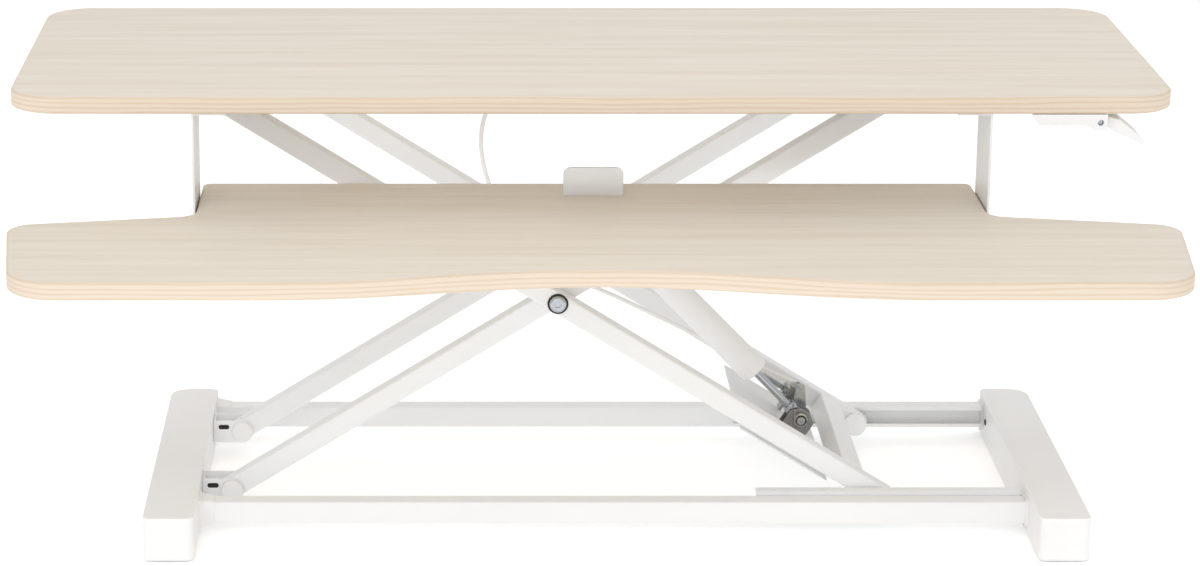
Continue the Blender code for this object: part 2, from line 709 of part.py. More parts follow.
def pivot_brackets():
    """Forked brackets: at the left foot for the inner arms, and under the desktop for the outer arms."""
    slot_width = ARM_SIZE + 2 * BRACKET_CLEAR
    wide = slot_width + 2 * SHEET
    bore = PIN_RADIUS + PIN_CLEAR
    foot_face = FOOT_X[0] + FOOT_WIDTH / 2 + GAP
    high = TOP_UNDER - GAP
    for name, side in (("front", -1), ("rear", 1)):
        y = MIDDLE_Y + side * INNER_ARM_OFF
        points = cheek_points(foot_face, PIVOT_X, LOW_AXIS, BASE_NOSE)
        fork = outline(f"base_bracket_{name}", points, wide, WHITE_STEEL, (0, y, 0), "Y")
        combine(fork, cutter_box(f"base_fork_slot_{name}", (THROUGH, slot_width, THROUGH),
                                 (foot_face + SHEET + THROUGH / 2, y, LOW_AXIS)))
        combine(fork, cutter_round(f"base_fork_hole_{name}", bore, THROUGH, (PIVOT_X, y, LOW_AXIS)))
        pin(f"base_pin_{name}", PIVOT_X, LOW_AXIS, y - wide / 2 - GAP, y + wide / 2 + GAP, side, None)
        y = MIDDLE_Y + side * OUTER_ARM_OFF
        left, right = PIVOT_X - BRACKET_HALF, PIVOT_X + BRACKET_HALF
        shape = [(left, high), (left, high - BRACKET_FLANGE)]
        for k in range(7):
            angle = pi * (-0.83 + 0.66 * k / 6)
            shape.append((PIVOT_X + TOP_NOSE * cos(angle), TOP_AXIS + TOP_NOSE * sin(angle)))
        shape += [(right, high - BRACKET_FLANGE), (right, high)]
        fork = outline(f"top_bracket_{name}", shape, wide, WHITE_STEEL, (0, y, 0), "Y", "top_axis")
        combine(fork, cutter_box(f"top_fork_slot_{name}", (THROUGH, slot_width, THROUGH),
                                 (PIVOT_X, y, high - SHEET - THROUGH / 2)))
        combine(fork, cutter_round(f"top_fork_hole_{name}", bore, THROUGH, (PIVOT_X, y, TOP_AXIS)))
        pin(f"top_pin_{name}", PIVOT_X, TOP_AXIS, y - wide / 2 - GAP, y + wide / 2 + GAP, side, "top_axis")


def rollers():
    """Nylon rollers on stub axles, outside the far end of every arm."""
    for name, side in (("front", -1), ("rear", 1)):
        for level, off, z, body in (("lower", OUTER_ARM_OFF, LOW_AXIS, "crossing_axis"),
                                    ("upper", INNER_ARM_OFF, TOP_AXIS, "lift_axis")):
            face = MIDDLE_Y + side * (off + ARM_SIZE / 2)
            inner = MIDDLE_Y + side * (off - ARM_SIZE / 2)
            tip = face + side * AXLE_TIP
            if level == "lower":
                pin(f"lower_axle_{name}", FAR_X, z, *sorted((inner, tip)), -side, body)
            y = face + side * (ROLLER_OFF + ROLLER_WIDTH / 2)
            half = ROLLER_WIDTH / 2
            bore = PIN_RADIUS + PIN_CLEAR
            rim = ROLLER_RADIUS - ROLLER_EDGE
            ring = [(bore, half), (rim, half), (ROLLER_RADIUS, half - ROLLER_EDGE),
                    (ROLLER_RADIUS, ROLLER_EDGE - half), (rim, -half), (bore, -half)]
            turned(f"{level}_roller_{name}", ring, NYLON, (FAR_X, y, z), parent=body, closed=True, steps=32)
    tip = INNER_ARM_OFF + ARM_SIZE / 2 + AXLE_TIP
    rod("upper_axle", PIN_RADIUS, 2 * tip, ZINC, (FAR_X, MIDDLE_Y, TOP_AXIS), parent="lift_axis")


def cross_members():
    """The tubes that tie each pair of arms, and the folded plate that carries the gas spring's clevis."""
    inner_span = 2 * (INNER_ARM_OFF - ARM_SIZE / 2 - GAP)
    outer_span = 2 * (OUTER_ARM_OFF - ARM_SIZE / 2 - GAP)
    box("inner_cross_tube", (INNER_TUBE, inner_span, INNER_TUBE), WHITE_STEEL,
        on_arm(1, STRUT_HIGH - INNER_TUBE_BEHIND, 0.0, MIDDLE_Y), (0, -THETA, 0), "lift_axis", TUBE_EDGE)
    box("outer_cross_tube", (CROSS_TUBE, outer_span, ARM_SIZE), WHITE_STEEL,
        on_arm(-1, CROSS_TUBE_AT, 0.0, MIDDLE_Y), (0, THETA, 0), "crossing_axis", TUBE_EDGE)
    start = PLATE_FROM
    end = CROSS_TUBE_AT - CROSS_TUBE / 2 - GAP
    box("spring_plate", (end - start, outer_span, SHEET), WHITE_STEEL,
        on_arm(-1, (start + end) / 2, -PLATE_DROP, MIDDLE_Y), (0, THETA, 0), "crossing_axis", SMALL_EDGE)


def gas_spring():
    """The lockable gas spring: clevis, rod, pressure tube, its white cover, and the fork at its top."""
    low = Vector(on_arm(-1, STRUT_LOW, 0.0, MIDDLE_Y))
    high = Vector(on_arm(1, STRUT_HIGH, 0.0, MIDDLE_Y))
    run = high - low
    length = run.length
    way = run.normalized()
    tilt = asin(way.z)
    lean = -(pi / 2 - tilt)
    rod_to = length - COVER_TOP_GAP - STRUT_STROKE
    stem = rod("gas_spring_rod", STRUT_ROD, rod_to - ROD_FROM, CHROME, low + way * (ROD_FROM + rod_to) / 2,
               "Z", "strut_axis", lean)
    combine(stem, cutter_box("rod_foot", ROD_FOOT, low + way * ROD_FOOT_UP, (0, tilt, 0)), "UNION")
    combine(stem, cutter_round("rod_foot_hole", PIN_RADIUS + PIN_CLEAR, THROUGH, low))
    half = (length - COVER_TOP_GAP - STRUT_VISIBLE_ROD) / 2
    centre = low + way * (STRUT_VISIBLE_ROD + half)
    r, w, e = STRUT_COVER, STRUT_COVER_WALL, COVER_EDGE
    bore = STRUT_ROD + ROD_CLEAR
    cup = [(0, half), (r - e, half), (r, half - e), (r, w - half), (r - w + GAP, -half),
           (r - w, -half), (r - w, half - COVER_ROOF), (0, half - COVER_ROOF)]
    turned("gas_spring_cover", cup, PLASTIC, centre, "Z", "strut_slide_axis", lean, 32)
    tube_low = TUBE_RECESS - half
    tube_high = half - COVER_ROOF - GAP
    inner = [(bore, tube_high), (STRUT_BODY, tube_high), (STRUT_BODY, tube_low), (bore, tube_low)]
    turned("gas_spring_tube", inner, ZINC, centre, "Z", "strut_slide_axis", lean, 24, True)
    p, q, wide, thin = STRUT_PIN, EYE_RADIUS, EYE_PIN_HALF, EYE_HALF
    eye = [(0, wide), (p, wide), (p, thin), (q, thin), (q, -thin), (p, -thin), (p, -wide), (0, -wide)]
    top_eye = turned("gas_spring_top_eye", eye, ZINC, high, "Y", "strut_slide_axis", steps=20)
    stem_length = COVER_TOP_GAP - GAP - STRUT_PIN
    stem_middle = high - way * (STRUT_PIN + stem_length / 2)
    combine(top_eye, cutter_box("eye_stem", (stem_length, *EYE_STEM), stem_middle, (0, tilt, 0)), "UNION")


def spring_fork():
    """A fork on the inner cross tube, with holes wide enough for the spring's opened pivot."""
    hole = STRUT_PIN + STRUT_FREE_PLAY
    nose = hole + FORK_RIM
    root = INNER_TUBE_BEHIND - INNER_TUBE / 2 - GAP
    points = []
    for k in range(13):
        angle = -pi / 2 + pi * k / 12
        points.append((nose * cos(angle), nose * sin(angle)))
    points += [(-root, nose), (-root, -nose)]
    place = on_arm(1, STRUT_HIGH, 0.0, MIDDLE_Y)
    wide = FORK_GAP + 2 * FORK_WALL
    fork = outline("spring_fork", points, wide, WHITE_STEEL, place, "Y", "lift_axis", -THETA)
    slot_at = on_arm(1, STRUT_HIGH - root + SHEET + THROUGH / 2, 0.0, MIDDLE_Y)
    combine(fork, cutter_box("fork_slot", (THROUGH, FORK_GAP, THROUGH), slot_at, (0, -THETA, 0)))
    combine(fork, cutter_round("fork_hole", hole, THROUGH, place, steps=28))


def clevis():
    """The grey casting that holds the rod's foot, and the pin through both."""
    low = Vector(on_arm(-1, STRUT_LOW, 0.0, MIDDLE_Y))
    base = SHEET / 2 + GAP - PLATE_DROP
    points = [(CLEVIS_SHOULDER[-1][0], base), (CLEVIS_SHOULDER[0][0], base), *CLEVIS_SHOULDER]
    wide = CLEVIS_GAP + 2 * FORK_WALL
    block = outline("clevis", points, wide, DARK, low, "Y", "crossing_axis", THETA, SMALL_EDGE)
    slot_at = on_arm(-1, STRUT_LOW, base + FORK_WALL + THROUGH / 2, MIDDLE_Y)
    combine(block, cutter_box("clevis_slot", (THROUGH, CLEVIS_GAP, THROUGH), slot_at, (0, THETA, 0)))
    combine(block, cutter_round("clevis_hole", PIN_RADIUS + PIN_CLEAR, THROUGH, low))
    rod("clevis_pin", PIN_RADIUS, CLEVIS_PIN, ZINC, low, "Y", "crossing_axis")


def release_arm():
    """The small rocker beside the rod's foot that opens the gas spring's valve when the cable pulls."""
    low = on_arm(-1, STRUT_LOW, 0.0, MIDDLE_Y + CLEVIS_GAP / 2 + FORK_WALL + GAP + ROCKER_THICK / 2)
    plate = outline("release_rocker", rounded(ROCKER_SHAPE, 0.0, 4), ROCKER_THICK, DARK, low, "Y",
                    "rocker_axis", THETA - ROCKER_LEAN)
    combine(plate, cutter_round("rocker_hole", PIN_RADIUS + PIN_CLEAR, THROUGH, low))


def tension_screw():
    """The weight adjuster: a threaded screw through a lug, with its nut."""
    y = MIDDLE_Y + SCREW_SIDE
    lug_at = STRUT_LOW - SCREW_BACK
    nut_at = lug_at - LUG[0] / 2 - GAP - NUT_THICK / 2
    lug = box("adjuster_lug", LUG, ZINC, on_arm(-1, lug_at, 0.0, y), (0, THETA, 0), "crossing_axis",
              SMALL_EDGE)
    bore = cutter_round("adjuster_bore", SCREW_RADIUS + PIN_CLEAR, THROUGH, on_arm(-1, lug_at, SCREW_RISE, y),
                        "X", 20)
    bore.rotation_euler = (0, pi / 2 + THETA, 0)
    combine(lug, bore)
    rod("adjuster_screw", SCREW_RADIUS, SCREW_LENGTH, ZINC, on_arm(-1, lug_at - SCREW_BACK, SCREW_RISE, y),
        "X", "crossing_axis", THETA, 20)
    corners = [(NUT_RADIUS * cos(pi * k / 3), NUT_RADIUS * sin(pi * k / 3)) for k in range(6)]
    nut = outline("adjuster_nut", corners, NUT_THICK, ZINC, on_arm(-1, nut_at, SCREW_RISE, y), "X",
                  "crossing_axis", THETA)
    combine(nut, bore)


def lever():
    """The squeeze lever under the desktop's right front edge, in its folded housing."""
    high = TOP_UNDER - GAP
    y = Y_FRONT + LEVER_Y
    shape = [(LEVER_X + x, high - drop) for x, drop in HOUSING_SHAPE]
    housing = outline("lever_housing", shape, LEVER_BRACKET_DEPTH, WHITE_STEEL, (0, y, 0), "Y", "top_axis")
    bay_at = (LEVER_X + LEVER_BAY / 4, y, high - SHEET - THROUGH / 2)
    combine(housing, cutter_box("lever_bay", (LEVER_BAY, LEVER_WIDTH + 2 * LEVER_CLEAR, THROUGH), bay_at))
    pivot = (LEVER_X, y, TOP_UNDER - LEVER_DROP)
    pin_hole = cutter_round("lever_pin_hole", LEVER_PIN + PIN_CLEAR, THROUGH, pivot, steps=20)
    combine(housing, pin_hole)
    rod("lever_pin", LEVER_PIN, LEVER_BRACKET_DEPTH - LEVER_PIN_SHORT, ZINC, pivot, "Y", "top_axis", steps=20)
    blade = rounded([(x, z, LEVER_EDGE) for x, z in LEVER_SHAPE], 0.0, 3)
    grip = outline("height_lever", blade, LEVER_WIDTH, PLASTIC, pivot, "Y", "lever_axis")
    combine(grip, pin_hole)


CABLE_ROUTE = [
    (0.4005, 0.046, -0.006), (0.393, 0.066, -0.0055), (0.374, 0.088, -0.0045), (0.335, 0.099, -0.0035),
    (0.200, 0.100, -0.0035), (0.060, 0.102, -0.0035), (-0.040, 0.120, -0.0050), (-0.083, 0.160, -0.022),
    (-0.098, 0.195, -0.060), (-0.094, 0.222, -0.112), (-0.070, 0.240, -0.170), (-0.022, 0.252, -0.218),
    (0.050, 0.259, -0.255), (0.130, 0.266, -0.297), (0.180, 0.269, -0.324), (0.208, 0.265, -0.336),
    (0.2195, 0.2545, -0.3395), (0.2215, 0.2460, -0.3405),
]


def cable():
    """The release cable, from the lever's housing under the desktop and down to the rocker. Its route
    is (X, depth behind the desktop's front edge, height from the desktop's underside)."""
    points = [(x, Y_FRONT + y, TOP_UNDER + z) for x, y, z in CABLE_ROUTE]
    obj = curve_object("release_cable", [tuple(p) for p in smooth_path(points, 80)], False)
    obj.data.dimensions = "3D"
    obj.data.bevel_depth = CABLE_RADIUS
    obj.data.bevel_resolution = 2
    obj.data.use_fill_caps = True
    finish(obj, CABLE, (0, 0, 0), (0, 0, 0), "top_axis")


def shade():
    """Smooth shading on every piece, kept sharp at its real edges."""
    for obj in parts.objects:
        if obj.type == "MESH":
            obj.data.shade_smooth()
            obj.data.set_sharp_from_angle(angle=radians(35))


def main():
    clear_scene()
    make_axes()
    board_top()
    keyboard_tray()
    tray_hangers()
    tray_stop()
    foot("left", -1)
    foot("right", 1)
    rails()
    tracks()
    arms()
    crossing()
    pivot_brackets()
    rollers()
    cross_members()
    gas_spring()
    spring_fork()
    clevis()
    release_arm()
    tension_screw()
    lever()
    cable()
    shade()


main()
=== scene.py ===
"""Looks of a sit-stand desk converter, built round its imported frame.

The frame gives the steelwork, the joints and every place. This script dresses its nodes and adds the
boards, the fasteners, the gas spring's visible pieces, the lever and the release cable as surfaces
worked out with numpy. All sizes are in metres: X runs right, Y away from the user and Z up.
"""

import json
import math

import bpy
import numpy as np
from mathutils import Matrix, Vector


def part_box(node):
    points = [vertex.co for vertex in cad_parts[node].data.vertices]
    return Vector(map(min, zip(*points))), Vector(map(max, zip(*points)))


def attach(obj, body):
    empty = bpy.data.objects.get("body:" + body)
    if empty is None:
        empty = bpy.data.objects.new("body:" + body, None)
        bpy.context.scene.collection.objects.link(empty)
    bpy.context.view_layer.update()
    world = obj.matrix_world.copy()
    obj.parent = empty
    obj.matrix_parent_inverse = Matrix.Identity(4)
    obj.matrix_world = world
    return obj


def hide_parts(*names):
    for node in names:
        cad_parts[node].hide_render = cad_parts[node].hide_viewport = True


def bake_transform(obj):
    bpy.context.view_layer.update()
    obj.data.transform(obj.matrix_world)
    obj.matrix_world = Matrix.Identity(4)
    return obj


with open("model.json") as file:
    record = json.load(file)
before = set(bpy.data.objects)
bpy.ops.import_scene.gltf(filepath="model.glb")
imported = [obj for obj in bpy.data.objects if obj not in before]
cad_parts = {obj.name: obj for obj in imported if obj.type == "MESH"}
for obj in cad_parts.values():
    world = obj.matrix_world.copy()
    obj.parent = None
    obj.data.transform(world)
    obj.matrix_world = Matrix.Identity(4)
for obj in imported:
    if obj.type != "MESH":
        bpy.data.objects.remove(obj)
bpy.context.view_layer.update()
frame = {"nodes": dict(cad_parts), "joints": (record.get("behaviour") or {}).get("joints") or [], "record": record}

bl_info = {
    "name": "Desk Converter Looks",
    "version": (1, 0, 0),
    "blender": (4, 5, 0),
    "location": "3D View > Sidebar > Desk Converter",
    "description": "Dresses a sit-stand desk converter's frame with boards, fasteners, lever and cable",
    "category": "Object",
}

JOINTS = {joint["name"]: joint for joint in frame["joints"]}
LOW_PIVOT = np.array(JOINTS["lift"]["pos_m"])
CROSSING = np.array(JOINTS["scissor"]["pos_m"])
TOP_PIVOT = np.array(JOINTS["top_level"]["pos_m"])
ROD_FOOT = np.array(JOINTS["spring_tilt"]["pos_m"])
SPRING_WAY = np.array(JOINTS["spring_stroke"]["axis"])
LEVER_PIVOT = np.array(JOINTS["lever_squeeze"]["pos_m"])
FAR_TOP = 2 * CROSSING - LOW_PIVOT
FAR_LOW = 2 * CROSSING - TOP_PIVOT
X_AXIS, Y_AXIS, Z_AXIS = np.eye(3)

# The boards: the wave in the tray's front edge, its neck, and its ears with their four round corners.
TRAY_WAVE = 0.040
TRAY_WAVE_HALF = 0.285
TRAY_HALF_NECK = 0.362
TRAY_EAR_BACK = -0.036
TRAY_EAR_LEAN = 0.0215
TRAY_EAR_ROUNDS = (0.046, 0.026, 0.020, 0.008)

# The steelwork that the new pieces fit: an arm's length past its pivot, the crown of a tube plug, half a
# rail's depth and height, and the height of a pin's head.
ARM_OVER = 0.008
PLUG_CROWN = 0.0014
RAIL_HALF = (0.0101, 0.0111)
HEAD = 0.004
CROSSING_HEAD = 0.0084
CROSSING_SHANK = 0.0039
PIN_CAP = 0.0105
AXLE_CAP = 0.0118

# The gas spring, measured from its foot along its own way, and the parts round its foot.
COVER_FROM = 0.066
COVER_TO = 0.235
COVER_RADIUS = 0.0145
THREAD_LENGTH = 0.052
THREAD_RADIUS = 0.0030
NUT_HALF = 0.0025
NUT_FLAT = 0.0056
WIRE = 0.0006

# The lever's blade, seen from the front, from its pin.
LEVER_BLADE = (
    (-0.0045, -0.0040), (0.0045, -0.0040), (0.013, -0.010), (0.042, -0.0235), (0.0428, -0.0203),
    (0.0385, -0.0150), (0.020, 0.0003), (0.0065, 0.0033), (-0.0045, 0.0038),
)
LEVER_ROUNDS = (0.0030, 0.0030, 0.0060, 0.0012, 0.0012, 0.0030, 0.0060, 0.0040, 0.0032)
LEVER_HALF = 0.018

# The cable's route: X, depth behind the desktop's front edge, and height from the desktop's underside.
CABLE_ROUTE = (
    (0.4005, 0.046, -0.006), (0.393, 0.066, -0.0055), (0.374, 0.088, -0.0045), (0.335, 0.099, -0.0035),
    (0.200, 0.100, -0.0035), (0.060, 0.102, -0.0035), (-0.040, 0.120, -0.0050), (-0.083, 0.160, -0.022),
    (-0.098, 0.195, -0.060), (-0.094, 0.222, -0.112), (-0.070, 0.240, -0.170), (-0.022, 0.252, -0.218),
    (0.050, 0.259, -0.255), (0.130, 0.266, -0.297), (0.180, 0.269, -0.324), (0.208, 0.265, -0.336),
    (0.2195, 0.2545, -0.3395), (0.2215, 0.2460, -0.3405),
)
CLIP_SHAPE = (
    (-0.010, 0.0), (-0.010, -0.0013), (-0.0042, -0.0014), (-0.0042, -0.0070),
    (0.0042, -0.0070), (0.0042, -0.0014), (0.010, -0.0013), (0.010, 0.0),
)
CLIP_ROUNDS = (0.0002, 0.0005, 0.0006, 0.0034, 0.0034, 0.0006, 0.0005, 0.0002)

# The camera stands square to the desktop and looks down at it.
CAMERA_PLACE = (-0.1386, -3.2024, 1.1812)
CAMERA_PITCH = 16.186
CAMERA_LENS = 105.73
CAMERA_SHIFT = 0.1333
LIGHT_AIM = (0.0, 0.1, 0.2)


def box(node):
    """A node's lowest and highest corners as arrays."""
    return [np.array(corner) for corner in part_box(node)]


def middle(node):
    return sum(box(node)) / 2


# ---------------------------------------------------------------- shapes


def unit(vectors):
    """Vectors scaled to length 1 along their last axis."""
    return vectors / np.linalg.norm(vectors, axis=-1, keepdims=True)


def placed(points, origin, across, along, up):
    """Points given in a local frame, moved to the frame with this origin and these three directions."""
    return origin + points @ np.array([across, along, up])


def round_about(axis):
    """Two unit directions that stand square to the axis and to each other."""
    helper = X_AXIS if abs(axis[0]) < 0.9 else Y_AXIS
    first = unit(np.cross(axis, helper))
    return first, np.cross(axis, first)


def arcs(corners, radii, steps):
    """A closed outline with round corners. At each corner a circle of the corner's radius touches both
    sides. Its centre is on the corner's bisector at radius / sin(half angle), and the arc turns about
    it from one touching point to the other in equal steps."""
    corners = np.array(corners, float)
    radii = np.broadcast_to(np.array(radii, float), len(corners))[:, None]
    back = unit(np.roll(corners, 1, axis=0) - corners)
    ahead = unit(np.roll(corners, -1, axis=0) - corners)
    half = np.arccos(np.clip((back * ahead).sum(1), -1, 1))[:, None] / 2
    centre = corners + unit(back + ahead) * radii / np.sin(half)
    start = corners + back * radii / np.tan(half) - centre
    end = corners + ahead * radii / np.tan(half) - centre
    sweep = np.arctan2(start[:, 0] * end[:, 1] - start[:, 1] * end[:, 0], (start * end).sum(1))
    turn = sweep[:, None] * np.linspace(0, 1, steps)
    x = start[:, :1] * np.cos(turn) - start[:, 1:] * np.sin(turn) + centre[:, :1]
    y = start[:, :1] * np.sin(turn) + start[:, 1:] * np.cos(turn) + centre[:, 1:]
    return np.stack([x, y], axis=-1).reshape(-1, 2)


def slab(outline, low, high, edge, steps=5):
    """A flat outline made thick from low to high, with both rims rounded. Row i of the grid is the
    outline moved inwards along its own normals by edge * (1 - sin a), at a height edge * (1 - cos a)
    from the face, while a runs from 0 to a right angle; the second rim mirrors the first."""
    ahead = np.roll(outline, -1, axis=0) - np.roll(outline, 1, axis=0)
    normal = unit(np.stack([ahead[:, 1], -ahead[:, 0]], axis=1))
    area = (outline[:, 0] * np.roll(outline[:, 1], -1) - outline[:, 1] * np.roll(outline[:, 0], -1)).sum()
    normal *= np.sign(area)
    angle = np.linspace(0, math.pi / 2, steps)
    inset = edge * (1 - np.sin(angle))
    rise = edge * (1 - np.cos(angle))
    insets = np.concatenate([inset, inset[::-1]])
    heights = np.concatenate([low + rise, high - rise[::-1]])
    flat = outline[None] - normal[None] * insets[:, None, None]
    level = np.broadcast_to(heights[:, None, None], (*flat.shape[:2], 1))
    return np.concatenate([flat, level], axis=-1)


def turned(profile, place, axis, steps=32, shape=None):
    """A turned surface: row i is a ring of radius profile[i, 0] at height profile[i, 1] along the axis.
    shape, where given, scales each ring's radius at each angle, as for a hexagon."""
    profile = np.array(profile, float)
    first, second = round_about(axis)
    angle = np.linspace(0, 2 * math.pi, steps, endpoint=False)
    radius = profile[:, :1] * (np.ones(steps) if shape is None else shape(angle, len(profile)))
    ring = np.cos(angle)[:, None] * first + np.sin(angle)[:, None] * second
    return place + profile[:, 1, None, None] * axis + radius[..., None] * ring


def hexagon(angle):
    """The distance from a hexagon's centre to its side at each angle, for a half width of 1."""
    sector = math.pi / 3
    return 1 / np.cos((angle + sector / 2) % sector - sector / 2)


def tube(path, radius, sides=10):
    """A round tube: a circle of that radius carried along the path, square to it. The circle's two
    directions come from the path's tangent and one fixed direction that the path never follows."""
    ahead = unit(np.gradient(path, axis=0))
    first = unit(np.cross(ahead, np.array([1.0, 1.0, 1.0])))
    second = np.cross(ahead, first)
    angle = np.linspace(0, 2 * math.pi, sides, endpoint=False)[:, None]
    ring = np.cos(angle) * first[:, None] + np.sin(angle) * second[:, None]
    return path[:, None] + np.broadcast_to(radius, len(path))[:, None, None] * ring


def smooth_path(route, count):
    """A Catmull-Rom curve through the route's points, read at equal steps of its length."""
    route = np.array(route, float)
    route = np.vstack([2 * route[0] - route[1], route, 2 * route[-1] - route[-2]])
    a, b, c, d = route[:-3, None], route[1:-2, None], route[2:-1, None], route[3:, None]
    t = np.linspace(0, 1, 24, endpoint=False)[None, :, None]
    curve = 0.5 * (2 * b + (c - a) * t + (2 * a - 5 * b + 4 * c - d) * t**2 + (3 * b - a - 3 * c + d) * t**3)
    curve = np.vstack([curve.reshape(-1, 3), route[-2]])
    length = np.concatenate([[0], np.cumsum(np.linalg.norm(np.diff(curve, axis=0), axis=1))])
    even = np.linspace(0, length[-1], count)
    return np.stack([np.interp(even, length, curve[:, k]) for k in range(3)], axis=1)


def piece(name, grids, finish, body, closed=False, capped=True, rim=None):
    """One mesh object from one grid of points or several. Each grid's columns join up into rings. Its
    rows join up too if it is closed; if it isn't, each end ring is closed by one flat face. A grid
    whose enclosed volume comes out negative has its faces turned over. With a rim finish, the flat
    faces keep the first finish and the rings take the second."""
    verts, faces, flat, start = [], [], [], 0
    for grid in grids if isinstance(grids, list) else [grids]:
        rows, columns = grid.shape[:2]
        index = np.arange(rows * columns).reshape(rows, columns)
        upper = np.roll(index, -1, axis=0) if closed else index[1:]
        lower = index if closed else index[:-1]
        quads = np.stack([lower, np.roll(lower, -1, 1), np.roll(upper, -1, 1), upper], axis=-1).reshape(-1, 4)
        points = grid.reshape(-1, 3)
        local = points - points.mean(axis=0)
        a, b, c, d = (local[quads[:, k]] for k in range(4))
        volume = (np.cross(b - a, c - a) * a).sum() + (np.cross(c - a, d - a) * a).sum()
        ends = [index[0][::-1], index[-1]] if capped and not closed else []
        for end in ends:
            ring = local[end]
            volume += (np.cross(ring, np.roll(ring, -1, axis=0)) @ ring.mean(axis=0)).sum()
        turn = -1 if volume < 0 else 1
        faces += (quads[:, ::turn] + start).tolist()
        flat += [False] * len(quads)
        faces += [(end[::turn] + start).tolist() for end in ends]
        flat += [True] * len(ends)
        verts.append(points)
        start += len(points)
    mesh = bpy.data.meshes.new(name)
    mesh.from_pydata(np.concatenate(verts).tolist(), [], faces)
    mesh.materials.append(finish)
    mesh.polygons.foreach_set("use_smooth", np.logical_not(flat))
    if rim:
        mesh.materials.append(rim)
        mesh.polygons.foreach_set("material_index", np.logical_not(flat).astype(np.int32))
    mesh.update()
    mesh.set_sharp_from_angle(angle=math.radians(38))
    made = bpy.data.objects.new(name, mesh)
    bpy.context.scene.collection.objects.link(made)
    if body:
        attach(made, body)
    return made


def wrapped_uv(made, grid):
    """A UV map in metres on a single grid: U runs round the rings and V from row to row."""
    rows, columns = grid.shape[:2]
    round_step = np.linalg.norm(np.roll(grid, -1, axis=1) - grid, axis=-1).mean(axis=0)
    row_step = np.linalg.norm(np.diff(grid, axis=0), axis=-1).mean(axis=1)
    u = np.concatenate([[0], np.cumsum(round_step)])
    v = np.concatenate([[0], np.cumsum(row_step)])
    mesh = made.data
    loops = np.zeros(len(mesh.loops), np.int64)
    mesh.loops.foreach_get("vertex_index", loops)
    row, column = loops // columns, loops % columns
    starts = np.zeros(len(mesh.polygons), np.int64)
    sides = np.zeros(len(mesh.polygons), np.int64)
    mesh.polygons.foreach_get("loop_start", starts)
    mesh.polygons.foreach_get("loop_total", sides)
    owner = np.repeat(np.arange(len(sides)), sides)
    last = np.maximum.reduceat(column, starts)[owner] == columns - 1
    around = np.where(last & (column == 0) & (sides[owner] == 4), columns, column)
    layer = mesh.uv_layers.new(name="wrapped")
    layer.data.foreach_set("uv", np.stack([u[around], v[row]], axis=1).astype(np.float32).ravel())
    return made


# ---------------------------------------------------------------- finishes


def linear(code):
    """An sRGB hex colour as linear RGB."""
    channels = np.array([int(code[i : i + 2], 16) for i in (0, 2, 4)]) / 255
    return tuple(np.where(channels <= 0.04045, channels / 12.92, ((channels + 0.055) / 1.055) ** 2.4))


def node(tree, kind, inputs=None, **settings):
    """Adds one node with its settings; each input takes a value or the socket that feeds it."""
    made = tree.nodes.new(kind)
    for name, value in settings.items():
        setattr(made, name, value)
    for key, value in (inputs or {}).items():
        if isinstance(value, bpy.types.NodeSocket):
            tree.links.new(value, made.inputs[key])
        else:
            made.inputs[key].default_value = value
    return made


def surface(name, colour, roughness, metallic=0.0, **sockets):
    """A material whose Principled shader holds these uniform values on its own sockets."""
    made = bpy.data.materials.new(name)
    made.use_nodes = True
    shader = made.node_tree.nodes["Principled BSDF"]
    values = {"Base Color": (*colour, 1.0), "Roughness": roughness, "Metallic": metallic}
    for key, value in {**values, **sockets}.items():
        shader.inputs[key].default_value = value
    made.diffuse_color = (*colour, 1.0)
    return made


def patterned(made, stretch, detail, spread, colours=None, roughness=None, depth=None, source="Object"):
    """Lays one noise on a material. stretch is the pattern's count per metre along each axis, and the
    noise's range between the two values of spread picks the colour between two, the roughness between
    two, and the height of a bump of that depth in metres."""
    tree = made.node_tree
    shader = tree.nodes["Principled BSDF"]
    place = node(tree, "ShaderNodeTexCoord").outputs[source]
    place = node(tree, "ShaderNodeMapping", {"Vector": place, "Scale": stretch}).outputs[0]
    noise = node(tree, "ShaderNodeTexNoise", {"Vector": place, "Scale": 1.0, "Detail": detail}).outputs[0]
    share = node(tree, "ShaderNodeMapRange", {0: noise, 1: spread[0], 2: spread[1]}).outputs[0]
    if colours:
        below, above = colours
        mixed = node(tree, "ShaderNodeMix", {0: share, 6: (*below, 1), 7: (*above, 1)}, data_type="RGBA")
        if shader.inputs["Base Color"].is_linked:
            tree.links.new(shader.inputs["Base Color"].links[0].from_socket, mixed.inputs[6])
        tree.links.new(mixed.outputs[2], shader.inputs["Base Color"])
    if roughness:
        level = node(tree, "ShaderNodeMapRange", {0: share, 3: roughness[0], 4: roughness[1]})
        tree.links.new(level.outputs[0], shader.inputs["Roughness"])
    if depth:
        bump = node(tree, "ShaderNodeBump", {"Height": share, "Distance": depth, "Strength": 1.0})
        if shader.inputs["Normal"].is_linked:
            tree.links.new(shader.inputs["Normal"].links[0].from_socket, bump.inputs["Normal"])
        tree.links.new(bump.outputs[0], shader.inputs["Normal"])
    return made


FINISHES = {}


